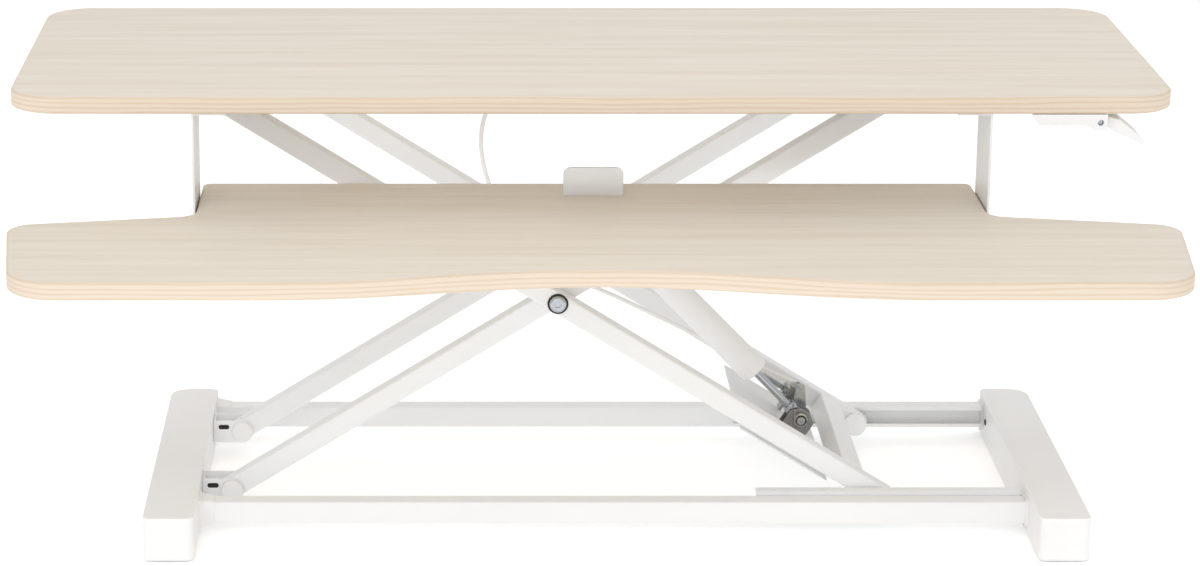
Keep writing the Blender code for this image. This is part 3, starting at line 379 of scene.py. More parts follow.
def melamine_beech_laminate(pale, streak):
    """Printed beech under melamine: quiet satin, with streaks some 15 mm apart and up to 400 mm long,
    finer lines 3 mm apart, and short ray flecks that a real beech shows."""
    made = surface("melamine_beech_laminate", pale, 0.46, **{"Specular IOR Level": 0.42})
    tree = made.node_tree
    place = node(tree, "ShaderNodeTexCoord").outputs["Object"]
    layers = (
        # stretch per metre, detail, range, strength of the streak colour
        ((2.4, 62, 62), 5.0, (0.40, 0.74), 0.34),
        ((9.0, 300, 300), 3.0, (0.46, 0.80), 0.28),
        ((95.0, 900, 900), 1.0, (0.62, 0.78), 0.26),
    )
    mixed = None
    for stretch, detail, spread, strength in layers:
        at = node(tree, "ShaderNodeMapping", {"Vector": place, "Scale": stretch}).outputs[0]
        noise = node(tree, "ShaderNodeTexNoise", {"Vector": at, "Scale": 1.0, "Detail": detail}).outputs[0]
        range_of = {0: noise, 1: spread[0], 2: spread[1], 3: 0.0, 4: strength}
        share = node(tree, "ShaderNodeMapRange", range_of)
        below = mixed.outputs[2] if mixed else (*pale, 1)
        laid = {0: share.outputs[0], 6: below, 7: (*streak, 1)}
        mixed = node(tree, "ShaderNodeMix", laid, data_type="RGBA")
    shader = tree.nodes["Principled BSDF"]
    tree.links.new(mixed.outputs[2], shader.inputs["Base Color"])
    # The pores are pressed into the overlay with the print, far shallower than in oiled wood.
    return patterned(made, (14, 420, 420), 3.0, (0.3, 0.7), None, (0.42, 0.54), 0.00003)


def beech_edge_band(pale, line):
    """A 1 mm veneer band: warmer and pinker than the faces, with growth lines about 5 mm apart that
    run along the edge and wander slowly. U on the piece is the length round the board."""
    made = surface("beech_veneer_edge_band", pale, 0.5, **{"Specular IOR Level": 0.4})
    tree = made.node_tree
    place = node(tree, "ShaderNodeTexCoord").outputs["UV"]
    at = node(tree, "ShaderNodeMapping", {"Vector": place, "Scale": (5.5, 62, 1)}).outputs[0]
    wave = node(
        tree,
        "ShaderNodeTexWave",
        {"Vector": at, "Scale": 1.1, "Distortion": 5.5, "Detail": 2.0, "Detail Scale": 0.9},
        bands_direction="Y",
    )
    dark = {0: wave.outputs["Fac"], 1: 0.45, 2: 1.0, 3: 0.0, 4: 0.34}
    share = node(tree, "ShaderNodeMapRange", dark).outputs[0]
    mixed = node(tree, "ShaderNodeMix", {0: share, 6: (*pale, 1), 7: (*line, 1)}, data_type="RGBA")
    tree.links.new(mixed.outputs[2], tree.nodes["Principled BSDF"].inputs["Base Color"])
    return patterned(made, (30, 900, 1), 2.0, (0.3, 0.7), None, (0.44, 0.58), 0.00004, "UV")


def make_finishes(boards, metals, plastics):
    """Every finish of this converter. The comments say what each material gives the eye."""
    pale, streak = tuple(boards.face_colour), tuple(boards.streak_colour)
    FINISHES["laminate"] = melamine_beech_laminate(pale, streak)
    FINISHES["band"] = beech_edge_band(tuple(boards.band_colour), tuple(boards.band_line_colour))
    white = np.array(metals.coat_colour)
    peel = 1 / metals.peel_size
    # Epoxy powder coat, baked: white, semi-gloss, with the faint dimple of orange peel. The real peel
    # is about 1 mm across, and it is drawn twice that size so that it shows.
    coat = surface("powder_coated_steel", white, 0.4, **{"Specular IOR Level": 0.5})
    patterned(coat, (7, 7, 7), 2.0, (0.3, 0.7), (white * 0.965, white), (0.34, 0.46))
    FINISHES["coat"] = patterned(coat, (peel, peel, peel), 1.0, (0.25, 0.75), depth=0.00006)
    # Bright zinc plate, passivated: grey metal with a weak blue and straw bloom.
    zinc = surface("bright_zinc_plated_steel", linear("A9B1B8"), 0.3, 1.0)
    FINISHES["zinc"] = patterned(zinc, (160, 160, 160), 3.0, (0.3, 0.7),
                                 (linear("9DA8B3"), linear("C4BFB0")), (0.22, 0.42), 0.00002)
    # Hard chrome on ground steel: a mirror with very fine rings from grinding.
    chrome = surface("hard_chromed_steel", linear("B4B7BB"), 0.1, 1.0)
    FINISHES["chrome"] = patterned(chrome, (60, 60, 60), 2.0, (0.3, 0.7), None, (0.07, 0.16))
    # Pressure die-cast zinc, shot-blasted: mid grey with a sandy skin.
    cast = surface("die_cast_zinc_alloy", linear("9B9997"), 0.5, 0.7)
    FINISHES["casting"] = patterned(cast, (700, 700, 700), 2.0, (0.3, 0.7),
                                    (linear("7C7A78"), linear("A5A3A1")), (0.42, 0.6), 0.00005)
    # Black oxide on hardened screws: nearly black with a dull sheen.
    oxide = surface("black_oxide_steel", linear("35322F"), 0.45, 0.7)
    FINISHES["oxide"] = patterned(oxide, (500, 500, 500), 2.0, (0.3, 0.7), None, (0.38, 0.55), 0.00002)
    moulded = np.array(plastics.cover_colour)
    # Injection-moulded ABS with a spark-eroded grain of about 0.5 mm, drawn 1 mm across.
    covers = surface("moulded_white_abs", moulded, 0.48, **{"Specular IOR Level": 0.45})
    patterned(covers, (9, 9, 9), 2.0, (0.3, 0.7), (moulded * 0.97, moulded))
    FINISHES["plastic"] = patterned(covers, (950, 950, 950), 1.0, (0.3, 0.7), None, (0.42, 0.56), 0.00004)
    # Nylon 6 rollers: milky, slightly translucent, polished by running in the track.
    nylon = surface("natural_nylon", linear("EFEDE5"), 0.36,
                    **{"Subsurface Weight": 0.15, "Subsurface Scale": 0.002})
    FINISHES["nylon"] = patterned(nylon, (400, 400, 400), 1.0, (0.3, 0.7), None, (0.28, 0.42), 0.00001)
    # Nitrile rubber pads: black, dry, with a bloom of dust.
    rubber = surface("black_nitrile_rubber", linear("262524"), 0.85, **{"Specular IOR Level": 0.3})
    FINISHES["rubber"] = patterned(rubber, (300, 300, 300), 4.0, (0.3, 0.8),
                                   (linear("1E1D1C"), linear("3A3836")), (0.75, 0.95), 0.00008)
    # Cast acrylic, frosted on both faces: it lets light through and blurs what is behind.
    acrylic = surface("frosted_cast_acrylic", linear("F4F5F4"), 0.42,
                      **{"Transmission Weight": 0.55, "IOR": 1.49})
    FINISHES["acrylic"] = patterned(acrylic, (800, 800, 800), 1.0, (0.3, 0.7), None, (0.36, 0.5), 0.00002)
    # Plasticised PVC over the cable's steel liner: soft white with a faint lay of the liner below.
    vinyl = surface("white_pvc_sheath", linear("EFEEEC"), 0.42,
                    **{"Coat Weight": 0.08, "Coat Roughness": 0.3})
    FINISHES["vinyl"] = patterned(vinyl, (600, 600, 600), 1.0, (0.3, 0.7), None, (0.36, 0.5), 0.00003)


SLOT_FINISH = {
    "board": "laminate",
    "steel": "coat",
    "plastic": "plastic",
    "zinc": "zinc",
    "chrome": "chrome",
    "casting": "casting",
    "rubber": "rubber",
    "nylon": "nylon",
    "acrylic": "acrylic",
    "cable": "vinyl",
}


# ---------------------------------------------------------------- sizes and colours


class BoardSizes(bpy.types.PropertyGroup):
    """What a user would change on the two boards."""

    rim: bpy.props.FloatProperty(name="Rim radius", description="Rounding of the boards' two rims",
                                 default=0.0022, min=0.0005, max=0.006, unit="LENGTH")
    corner: bpy.props.FloatProperty(name="Desktop corner", description="Radius of the desktop's four corners",
                                    default=0.045, min=0.01, max=0.12, unit="LENGTH")
    face_colour: bpy.props.FloatVectorProperty(name="Laminate", description="Ground colour of the print",
                                               default=linear("E4DBCD"), subtype="COLOR", size=3)
    streak_colour: bpy.props.FloatVectorProperty(name="Streaks", description="Colour of the printed grain",
                                                 default=linear("CBBBA5"), subtype="COLOR", size=3)
    band_colour: bpy.props.FloatVectorProperty(name="Edge band", description="Ground colour of the edge band",
                                               default=linear("DFD0BD"), subtype="COLOR", size=3)
    band_line_colour: bpy.props.FloatVectorProperty(name="Band lines", description="Growth lines in the band",
                                                    default=linear("C4A583"), subtype="COLOR", size=3)


class MetalLooks(bpy.types.PropertyGroup):
    """Powder coat and fastener sizes."""

    coat_colour: bpy.props.FloatVectorProperty(name="Powder coat", description="Colour of the coated steel",
                                               default=linear("EFF0F1"), subtype="COLOR", size=3)
    peel_size: bpy.props.FloatProperty(name="Orange peel", description="Width of one dimple in the coat",
                                       default=0.0022, min=0.0005, max=0.01, unit="LENGTH")
    screw_head: bpy.props.FloatProperty(name="Screw head", description="Diameter of the pan head screws",
                                        default=0.008, min=0.004, max=0.014, unit="LENGTH")
    thread_pitch: bpy.props.FloatProperty(name="Thread pitch", description="Pitch of the adjuster screw",
                                          default=0.00125, min=0.0005, max=0.003, unit="LENGTH")


class PlasticLooks(bpy.types.PropertyGroup):
    """Moulded pieces and the cable."""

    cover_colour: bpy.props.FloatVectorProperty(name="Covers", description="Colour of the moulded covers",
                                                default=linear("F0F0F0"), subtype="COLOR", size=3)
    cable_diameter: bpy.props.FloatProperty(name="Cable", description="Outside diameter of the release cable",
                                            default=0.0044, min=0.003, max=0.008, unit="LENGTH")
    clips: bpy.props.IntProperty(name="Clips", description="Cable clips under the desktop",
                                 default=3, min=1, max=6)


class StageLooks(bpy.types.PropertyGroup):
    """Light and floor."""

    sky: bpy.props.FloatProperty(name="Sky", description="Strength of the even white surround",
                                 default=0.80, min=0.0, max=4.0)
    key_power: bpy.props.FloatProperty(name="Key light", description="Power of the large overhead light",
                                       default=26.0, min=0.0, max=2000.0, unit="POWER")
    front_power: bpy.props.FloatProperty(name="Front light", description="Power of the light in front",
                                         default=9.0, min=0.0, max=2000.0, unit="POWER")
    floor_glow: bpy.props.FloatProperty(name="Floor glow", description="Light that the floor gives off",
                                        default=0.28, min=0.0, max=2.0)
    floor_colour: bpy.props.FloatVectorProperty(name="Floor", description="Colour of the plain floor",
                                                default=linear("FBFBFB"), subtype="COLOR", size=3)


# ---------------------------------------------------------------- pieces


class PieceOperator(bpy.types.Operator):
    """Base of the operators that make pieces."""

    bl_options = {"REGISTER", "UNDO"}


class CONVERTER_OT_finishes(PieceOperator):
    """Make every finish and give the frame's nodes theirs"""

    bl_idname = "converter.finishes"
    bl_label = "Finishes"

    def execute(self, context):
        scene = context.scene
        make_finishes(scene.converter_boards, scene.converter_metals, scene.converter_plastics)
        slots = {row["node"]: row["material_slot"] for row in frame["record"]["subparts"]}
        for name, obj in frame["nodes"].items():
            if not obj.material_slots:
                raise RuntimeError(f"{name} has no material slot")
            for held in obj.material_slots:
                held.material = FINISHES["zinc" if name == "release_rocker" else SLOT_FINISH[slots[name]]]
        return {"FINISHED"}


class CONVERTER_OT_boards(PieceOperator):
    """Make the desktop and the keyboard tray, each with its edge band"""

    bl_idname = "converter.boards"
    bl_label = "Boards"

    def execute(self, context):
        sizes = context.scene.converter_boards
        low, high = box("desktop_board")
        # The outline starts at the back, so that the edge band's joint lies there.
        corners = [(low[0], high[1]), (low[0], low[1]), (high[0], low[1]), (high[0], high[1])]
        grid = slab(arcs(corners, sizes.corner, 24), low[2], high[2], sizes.rim)
        desktop = piece("desktop_top", grid, FINISHES["laminate"], "top", rim=FINISHES["band"])
        wrapped_uv(desktop, grid)
        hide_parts("desktop_board")
        low, high = box("keyboard_tray_board")
        grid = slab(tray_outline(low, high), low[2], high[2], sizes.rim)
        tray = piece("keyboard_tray", grid, FINISHES["laminate"], "top", rim=FINISHES["band"])
        wrapped_uv(tray, grid)
        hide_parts("keyboard_tray_board")
        return {"FINISHED"}


def tray_outline(low, high):
    """The tray's outline. The middle of its front edge is a raised cosine, wave * (1 + cos) / 2 deep.
    Then come a full ear, a concave turn into the neck and the neck's back corner, and all of it is
    mirrored. It starts and ends at the back, so that the edge band's joint lies there."""
    front, back, half = low[1], high[1], high[0]
    ear = box("desktop_board")[0][1] + TRAY_EAR_BACK
    share = np.linspace(0, 1, 40)
    wave = np.stack([TRAY_WAVE_HALF * share, front + TRAY_WAVE * (1 + np.cos(math.pi * share)) / 2], axis=1)
    corners = [(0.1, front), (half - TRAY_EAR_LEAN, front), (half, ear - 0.012),
               (TRAY_HALF_NECK, ear + 0.020), (TRAY_HALF_NECK, back), (0.1, back)]
    side = arcs(corners, (0.001, *TRAY_EAR_ROUNDS, 0.001), 16)[16:-16]
    right = np.vstack([wave, side])
    left = right[1:][::-1] * (-1, 1)
    return np.vstack([left, right])


def socket_screw(place, axis, radius, height, shank, shank_length, socket, steps=36):
    """A button-head screw: a domed rim from a quarter ellipse, a hexagon socket half the head deep, and
    a plain shank below. Rings run from the socket's floor out over the head and down the shank."""
    dome = np.linspace(math.pi / 2, 0, 8)
    flat = radius * 0.62
    profile = [(socket, height * 0.45), (socket, height * 0.97), (socket * 1.12, height)]
    profile += [(flat + (radius - flat) * math.cos(a), height * (0.25 + 0.75 * math.sin(a))) for a in dome]
    profile += [(radius, 0.0), (shank, 0.0), (shank, -shank_length + 0.0005), (shank * 0.8, -shank_length)]
    rounds = np.arange(len(profile))[:, None] < 3

    def shape(angle, rows):
        return np.where(rounds, hexagon(angle), 1.0)

    return turned(profile, place, axis, steps, shape)


class CONVERTER_OT_fasteners(PieceOperator):
    """Make the crossing bolts and the screws of the hangers, brackets, tracks and feet"""

    bl_idname = "converter.fasteners"
    bl_label = "Fasteners"

    def execute(self, context):
        head = context.scene.converter_metals.screw_head / 2
        for name, side in (("front", -1), ("rear", 1)):
            low, high = box(f"crossing_bolt_{name}")
            axis = Y_AXIS * side
            face = high[1] - 0.004 if side > 0 else low[1] + 0.004
            length = high[1] - low[1] - 0.004
            place = np.array([CROSSING[0], face, CROSSING[2]])
            grid = socket_screw(place, axis, CROSSING_HEAD, 0.0044, CROSSING_SHANK, length, 0.0032, 48)
            bolt = piece(f"crossing_bolt_{name}_head", grid, FINISHES["chrome"], "outer_frame")
            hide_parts(f"crossing_bolt_{name}")
            ring = turned([(0.0085, 0.0001), (0.0097, 0.0001), (0.0100, 0.0004), (0.0100, 0.0009),
                           (0.0097, 0.0012), (0.0085, 0.0012)], place, axis, 48)
            piece(f"crossing_collar_{name}", ring, FINISHES["oxide"], "outer_frame", closed=True)
        grids = []
        under = box("desktop_board")[0][2]
        for name in ("left", "right"):
            low, high = box(f"tray_hanger_{name}")
            x = (low[0] + high[0]) / 2
            for y in (low[1] + 0.016, high[1] - 0.016):
                for z in (low[2], high[2] - 0.002):
                    place = np.array([x, y, z])
                    grids.append(socket_screw(place, -Z_AXIS, head, 0.0022, 0.002, 0.008, 0.0015, 24))
        piece("tray_hanger_screws", grids, FINISHES["zinc"], "top")
        grids = []
        for name, side in (("front", -1), ("rear", 1)):
            low, high = box(f"top_bracket_{name}")
            for x in (low[0] + 0.0045, high[0] - 0.0045):
                place = np.array([x, (low[1] + high[1]) / 2, high[2] - 0.0034])
                grids.append(socket_screw(place, -Z_AXIS, 0.003, 0.0016, 0.0015, 0.006, 0.0011, 20))
            low, high = box(f"upper_track_{name}")
            for x in (low[0] + 0.02, high[0] - 0.02):
                place = np.array([x, (low[1] + high[1]) / 2 + side * 0.003, high[2]])
                reach = under - high[2]
                profile = [(0.0015, reach), (0.004, reach), (0.004, 0.0), (0.0015, 0.0)]
                grids.append(turned(profile, place, Z_AXIS, 20))
        piece("top_bracket_screws", grids, FINISHES["zinc"], "top")
        grids = []
        for name in ("left", "right"):
            low, high = box(f"foot_cover_{name}")
            inner = high[0] if name == "left" else low[0]
            side = 1 if name == "left" else -1
            for rail in ("front", "rear"):
                y = middle(f"base_rail_{rail}")[1]
                place = np.array([inner, y + (0.030 if rail == "front" else -0.030), 0.024])
                grids.append(socket_screw(place, X_AXIS * side, 0.0032, 0.0012, 0.0015, 0.004, 0.0012, 20))
        piece("foot_cover_screws", grids, FINISHES["oxide"], "base")
        return {"FINISHED"}


class CONVERTER_OT_tube_ends(PieceOperator):
    """Make the plugs in the arms' open ends and the collars where the rails enter the feet"""

    bl_idname = "converter.tube_ends"
    bl_label = "Tube ends"

    def execute(self, context):
        for group, start, end in (("inner", LOW_PIVOT, FAR_TOP), ("outer", TOP_PIVOT, FAR_LOW)):
            way = unit(end - start)
            up = np.cross(way, Y_AXIS)
            for name in ("front", "rear"):
                y = middle(f"{group}_arm_{name}")[1]
                grids = []
                for tip, out in ((start, -way), (end, way)):
                    face = np.array([tip[0], y, tip[2]]) + out * ARM_OVER
                    flange = slab(square_outline(0.0194, 0.0024), 0.0, PLUG_CROWN, 0.0007)
                    stem = slab(square_outline(0.0166, 0.001), -0.003, 0.0002, 0.0003)
                    grids += [placed(shape, face, Y_AXIS, up, out) for shape in (flange, stem)]
                piece(f"{group}_arm_{name}_plugs", grids, FINISHES["plastic"], f"{group}_frame")
        for name, side in (("left", 1), ("right", -1)):
            low, high = box(f"foot_cover_{name}")
            face = high[0] if side > 0 else low[0]
            reach = 0.016 if side > 0 else 0.0032
            grids = []
            for rail in ("front", "rear"):
                at = middle(f"base_rail_{rail}")
                grids.append(rail_collar(np.array([face - side * 0.001, at[1], at[2]]), side, reach))
            piece(f"rail_collars_{name}", grids, FINISHES["plastic"], "base", closed=True)
        return {"FINISHED"}


def square_outline(size, corner):
    half = size / 2
    return arcs([(-half, -half), (half, -half), (half, half), (-half, half)], corner, 6)


def rail_collar(place, side, reach):
    """A collar round a rail: a rounded rectangle carried out from the foot's wall, which narrows as the
    square root of the way out, and then back along the rail itself as its inner wall."""
    share = np.linspace(0, 1, 7)
    grow = 0.0048 * (1 - np.sqrt(share) * 0.86) if reach > 0.01 else 0.0022 + 0 * share
    rows = [(reach * s, g) for s, g in zip(share, grow)] + [(reach, 0.0), (0.0, 0.0)]
    half_y, half_z = RAIL_HALF
    rings = []
    for out, extra in rows:
        a, b = half_y + extra, half_z + extra
        ring = arcs([(-a, -b), (a, -b), (a, b), (-a, b)], 0.0015 + extra * 0.6, 6)
        rings.append(np.column_stack([np.full(len(ring), side * out), ring]) + place)
    return np.stack(rings)


class CONVERTER_OT_pivots(PieceOperator):
    """Make the white caps on the low pivots' heads and thin black plates on the base brackets, painted shade where
    their slots are
    """

    bl_idname = "converter.pivots"
    bl_label = "Low pivots"

    def execute(self, context):
        caps = []
        for rail in ("front", "rear"):
            low, high = box(f"base_pin_{rail}")
            caps.append(pivot_cap(np.array([LOW_PIVOT[0], low[1] + HEAD, LOW_PIVOT[2]]), PIN_CAP))
        piece("base_pin_caps", caps, FINISHES["plastic"], "base", closed=True)
        low, high = box("lower_axle_rear")
        cap = pivot_cap(np.array([FAR_LOW[0], low[1] + HEAD, FAR_LOW[2]]), AXLE_CAP)
        piece("lower_axle_cap", cap, FINISHES["plastic"], "outer_frame", closed=True)
        # Painted shade: a thin black-oxide plate on each base bracket stands for the shadow inside a slot; there
        # is no hole.
        slots = []
        for rail in ("front", "rear"):
            low, high = box(f"base_bracket_{rail}")
            corners = [(-0.0055, -0.0024), (0.0055, -0.0024), (0.0055, 0.0024), (-0.0055, 0.0024)]
            outline = arcs(corners, 0.0022, 6)
            place = np.array([low[0] + 0.0105, low[1], high[2] - 0.0065])
            slots.append(placed(slab(outline, -0.0003, 0.0002, 0.0001), place, X_AXIS, Z_AXIS, -Y_AXIS))
        piece("base_bracket_slots", slots, FINISHES["oxide"], "base")
        return {"FINISHED"}


def pivot_cap(place, radius):
    """A snap cap over a round head, facing the user. Its crown is a quarter ellipse 1.6 mm high, and its
    hollow is a plain cylinder that the head sits in."""
    crown = [(radius - 0.0022 + 0.0022 * math.sin(a), HEAD + 0.0008 * (1 + math.cos(a)))
             for a in np.linspace(0, math.pi / 2, 7)]
    profile = [(0.0001, HEAD + 0.0016), *crown, (radius, 0.0003), (0.0087, 0.0003), (0.0087, HEAD + 0.0004),
               (0.0001, HEAD + 0.0004)]
    return turned(profile, place, -Y_AXIS, 44)


class CONVERTER_OT_gas_spring(PieceOperator):
    """Make the gas spring's cover, its seal, the adjuster's thread and nut, and the rocker's spring"""

    bl_idname = "converter.gas_spring"
    bl_label = "Gas spring"

    def execute(self, context):
        pitch = context.scene.converter_metals.thread_pitch
        start, end = COVER_FROM, COVER_TO
        radius = COVER_RADIUS
        lip = [(radius - 0.0016, start + 0.004), (radius - 0.0015, start + 0.0008)]
        lip += [(radius - 0.00075 + 0.00085 * math.cos(a), start + 0.0009 - 0.0009 * math.sin(a))
                for a in np.linspace(math.pi * 0.9, 0, 6)]
        body = [(radius + 0.0001, start + 0.006), (radius, start + 0.007), (radius, end - 0.006)]
        body += [(radius - 0.005 + 0.005 * math.cos(a), end - 0.005 + 0.005 * math.sin(a))
                 for a in np.linspace(0, math.pi / 2, 8)]
        inside = [(0.0046, end), (0.0046, end - 0.002), (radius - 0.0016, end - 0.003)]
        grid = turned(lip + body + inside, ROD_FOOT, SPRING_WAY, 56)
        cover = piece("strut_cover", grid, FINISHES["plastic"], "spring_cylinder", closed=True)
        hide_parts("gas_spring_cover")
        seal = turned([(0.0045, start + 0.0025), (0.0100, start + 0.0025), (0.0104, start + 0.003),
                       (0.0104, start + 0.0058), (0.0045, start + 0.0058)], ROD_FOOT, SPRING_WAY, 40)
        piece("gas_spring_seal", seal, FINISHES["rubber"], "spring_cylinder", closed=True)
        self.adjuster(pitch)
        self.rocker_spring()
        self.anchor()
        return {"FINISHED"}

    def adjuster(self, pitch):
        """The thread's radius is a triangle wave of (height / pitch - angle / full turn), so that its
        crest climbs one pitch a turn; it fades out in the chamfer at each end."""
        way = unit(FAR_LOW - TOP_PIVOT)
        centre, length = middle("adjuster_screw"), THREAD_LENGTH
        turns = length / pitch
        height = np.linspace(-length / 2, length / 2, int(turns * 8))
        angle = np.linspace(0, 2 * math.pi, 24, endpoint=False)
        phase = (height[:, None] / pitch - angle / (2 * math.pi)) % 1
        ease = np.clip((length / 2 - abs(height)) / (2 * pitch), 0, 1)[:, None]
        crest = THREAD_RADIUS - 0.0006 * (1 - ease) - 0.00055 * (1 - abs(2 * phase - 1)) * ease
        first, second = round_about(way)
        ring = np.cos(angle)[:, None] * first + np.sin(angle)[:, None] * second
        grid = centre + height[:, None, None] * way + crest[..., None] * ring
        made = piece("adjuster_thread", grid, FINISHES["zinc"], "outer_frame")
        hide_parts("adjuster_screw")
        nut_at = middle("adjuster_nut")
        half, flat, ease = NUT_HALF, NUT_FLAT, 0.0007
        rows = [(0.0031, -half), (0.0052, -half), (flat, -half + ease), (flat, half - ease), (0.0052, half),
                (0.0031, half)]
        hexed = np.array([0, 0, 1, 1, 0, 0])[:, None]
        nut = turned(rows, nut_at, way, 48, lambda a, rows: np.where(hexed, hexagon(a), 1.0))
        made = piece("adjuster_hex_nut", nut, FINISHES["zinc"], "outer_frame", closed=True)
        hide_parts("adjuster_nut")
        washers = [turned([(0.0031, low), (0.0068, low), (0.0070, low + 0.0003), (0.0070, low + 0.0007),
                           (0.0068, low + 0.001), (0.0031, low + 0.001)], nut_at, way, 40)
                   for low in (-0.0038, 0.0062)]
        piece("adjuster_washers", washers, FINISHES["zinc"], "outer_frame", closed=True)

    def rocker_spring(self):
        """A torsion spring: a helix about the clevis pin, whose two straight legs leave along the plate
        and up the rocker."""
        turns, wire, coil = 3.5, WIRE, 0.0062
        angle = np.linspace(0, turns * 2 * math.pi, 110)
        front = box("clevis")[0][1] - 0.0012
        climb = -wire * 2.15 * angle / (2 * math.pi)
        helix = np.stack([coil * np.cos(angle), climb, coil * np.sin(angle)], axis=1)
        legs = [helix[0] + np.array([0.0, 0.0, -0.010]), helix[-1] + np.array([0.0, 0.0, 0.012])]
        path = smooth_path(np.vstack([legs[0], helix[::4], legs[1]]), 150)
        path = path + np.array([ROD_FOOT[0], front, ROD_FOOT[2]])
        piece("rocker_spring", tube(path, wire, 8), FINISHES["zinc"], "outer_frame")

    def anchor(self):
        """The folded ear that the sheath ends in, on the spring plate, and the bare wire from it."""
        tip = cable_path(60)[-1]
        way = unit(FAR_LOW - TOP_PIVOT)
        up = np.cross(way, Y_AXIS)
        outline = arcs([(-0.006, -0.0165), (0.006, -0.0165), (0.006, 0.004), (-0.006, 0.004)],
                       (0.0006, 0.0006, 0.0045, 0.0045), 7)
        place = np.array([tip[0], tip[1] + 0.004, tip[2]])
        grid = placed(slab(outline, -0.0009, 0.0009, 0.0003), place, way, up, Y_AXIS)
        piece("sheath_anchor", grid, FINISHES["casting"], "outer_frame")
        rocker = middle("release_rocker")
        wire = smooth_path([tip, (tip + rocker) / 2 + 0.001 * up, rocker + 0.006 * up], 24)
        piece("release_wire", tube(wire, WIRE, 8), FINISHES["zinc"], "outer_frame")


class CONVERTER_OT_lever(PieceOperator):
    """Make the squeeze lever's moulded paddle"""

    bl_idname = "converter.lever"
    bl_label = "Height lever"

    def execute(self, context):
        grid = slab(arcs(LEVER_BLADE, LEVER_ROUNDS, 8), -LEVER_HALF, LEVER_HALF, 0.0012)
        place = placed(grid, LEVER_PIVOT, X_AXIS, Z_AXIS, Y_AXIS)
        paddle = piece("lever_paddle", place, FINISHES["plastic"], "lever")
        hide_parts("height_lever")
        return {"FINISHED"}


def cable_path(count):
    low = box("desktop_board")[0]
    return smooth_path(np.array(CABLE_ROUTE) + (0, low[1], low[2]), count)


class CONVERTER_OT_cable(PieceOperator):
    """Make the release cable, its ferrules and its clips"""

    bl_idname = "converter.cable"
    bl_label = "Release cable"

    def execute(self, context):
        looks = context.scene.converter_plastics
        path = cable_path(180)
        sheath = tube(path, looks.cable_diameter / 2, 14)
        cable = piece("release_cable_sheath", sheath, FINISHES["vinyl"], None)
        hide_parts("release_cable")
        for name, end, inward, body in (("top", path[0], path[6] - path[0], "top"),
                                        ("low", path[-1], path[-7] - path[-1], "outer_frame")):
            way = unit(inward)
            rows = [(0.0023, 0.0002), (0.0029, 0.0002), (0.0032, 0.0006), (0.0032, 0.007), (0.0029, 0.0075),
                    (0.0026, 0.0095), (0.0023, 0.0095)]
            grid = turned(rows, end, way, 28)
            piece(f"cable_ferrule_{name}", grid, FINISHES["zinc"], body, closed=True)
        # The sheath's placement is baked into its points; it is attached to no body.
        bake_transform(cable)
        low = box("desktop_board")[0]
        shape = slab(arcs(CLIP_SHAPE, CLIP_ROUNDS, 6), -0.004, 0.004, 0.0005)
        grids = []
        for x in np.linspace(0.32, 0.03, looks.clips):
            spot = path[np.argmin(abs(path[:90, 0] - x))]
            grids.append(placed(shape, np.array([spot[0], spot[1], low[2]]), Y_AXIS, Z_AXIS, X_AXIS))
        piece("cable_clips", grids, FINISHES["plastic"], "top")
        return {"FINISHED"}


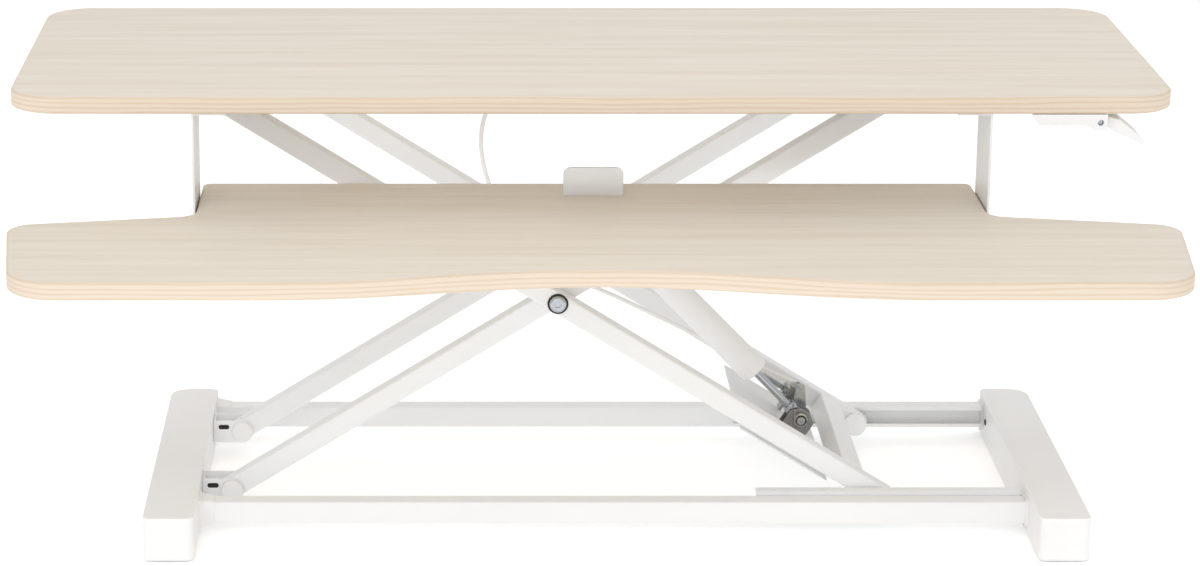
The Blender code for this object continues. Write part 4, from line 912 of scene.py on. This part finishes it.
class CONVERTER_OT_stage(PieceOperator):
    """Make the floor, the soft studio light and the camera"""

    bl_idname = "converter.stage"
    bl_label = "Stage"

    def execute(self, context):
        looks = context.scene.converter_stage
        radius = np.array([0.0001, 0.5, 1.5, 4.0, 12.0, 40.0])
        profile = np.column_stack([radius, np.zeros(len(radius))])
        grid = turned(profile, np.zeros(3), Z_AXIS, 64)
        tint = tuple(looks.floor_colour)
        paper = surface("matt_studio_paper", tint, 0.85, **{"Specular IOR Level": 0.2,
                        "Emission Color": (1.0, 1.0, 1.0, 1.0), "Emission Strength": looks.floor_glow})
        patterned(paper, (1.5, 1.5, 1.5), 2.0, (0.3, 0.7), (np.array(tint) * 0.99, tint))
        floor = piece("studio_floor", grid[::-1], paper, None, capped=False)
        world = bpy.data.worlds.new("white_surround")
        world.use_nodes = True
        world.node_tree.nodes["Background"].inputs["Color"].default_value = (1.0, 1.0, 1.0, 1.0)
        world.node_tree.nodes["Background"].inputs["Strength"].default_value = looks.sky
        context.scene.world = world
        for name, place, size, power in (("key_light", (-0.8, -2.8, 2.2), 2.4, looks.key_power),
                                         ("top_light", (0.6, 0.6, 3.0), 2.8, looks.key_power * 0.45),
                                         ("front_light", (-0.3, -3.6, 0.7), 2.4, looks.front_power)):
            data = bpy.data.lights.new(name, "AREA")
            data.shape = "DISK"
            data.size = size
            data.energy = power
            lamp = bpy.data.objects.new(name, data)
            lamp.location = place
            aim = Vector(LIGHT_AIM) - Vector(place)
            lamp.rotation_mode = "QUATERNION"
            lamp.rotation_quaternion = aim.to_track_quat("-Z", "Y")
            context.scene.collection.objects.link(lamp)
        data = bpy.data.cameras.new("camera")
        data.lens = CAMERA_LENS
        data.sensor_width = 36.0
        data.shift_x = CAMERA_SHIFT
        camera = bpy.data.objects.new("camera", data)
        camera.location = CAMERA_PLACE
        camera.rotation_euler = (math.radians(90 - CAMERA_PITCH), 0.0, 0.0)
        context.scene.collection.objects.link(camera)
        context.scene.camera = camera
        context.scene.view_settings.view_transform = "Standard"
        return {"FINISHED"}


class CONVERTER_PT_panel(bpy.types.Panel):
    """The converter's pieces and settings"""

    bl_idname = "CONVERTER_PT_panel"
    bl_label = "Desk Converter"
    bl_space_type = "VIEW_3D"
    bl_region_type = "UI"
    bl_category = "Desk Converter"

    def draw(self, context):
        for group in (context.scene.converter_boards, context.scene.converter_metals,
                      context.scene.converter_plastics, context.scene.converter_stage):
            column = self.layout.column()
            for name in group.__annotations__:
                column.prop(group, name)
        for operator in OPERATORS:
            self.layout.operator(operator.bl_idname)


OPERATORS = (
    CONVERTER_OT_finishes, CONVERTER_OT_stage, CONVERTER_OT_cable, CONVERTER_OT_boards,
    CONVERTER_OT_fasteners, CONVERTER_OT_tube_ends, CONVERTER_OT_pivots, CONVERTER_OT_gas_spring,
    CONVERTER_OT_lever,
)
GROUPS = {
    "converter_boards": BoardSizes,
    "converter_metals": MetalLooks,
    "converter_plastics": PlasticLooks,
    "converter_stage": StageLooks,
}


def register():
    for group in GROUPS.values():
        bpy.utils.register_class(group)
    for operator in OPERATORS:
        bpy.utils.register_class(operator)
    bpy.utils.register_class(CONVERTER_PT_panel)
    for name, group in GROUPS.items():
        setattr(bpy.types.Scene, name, bpy.props.PointerProperty(type=group))


def unregister():
    for name in GROUPS:
        delattr(bpy.types.Scene, name)
    bpy.utils.unregister_class(CONVERTER_PT_panel)
    for operator in reversed(OPERATORS):
        bpy.utils.unregister_class(operator)
    for group in reversed(list(GROUPS.values())):
        bpy.utils.unregister_class(group)


def main():
    for name in ("Cube", "Light", "Camera"):
        if name in bpy.data.objects and name not in frame["nodes"]:
            bpy.data.objects.remove(bpy.data.objects[name], do_unlink=True)
    register()
    for operator in OPERATORS:
        group, name = operator.bl_idname.split(".")
        if getattr(getattr(bpy.ops, group), name)() != {"FINISHED"}:
            raise RuntimeError(f"{operator.bl_label} didn't finish")


if __name__ == "__main__":
    main()
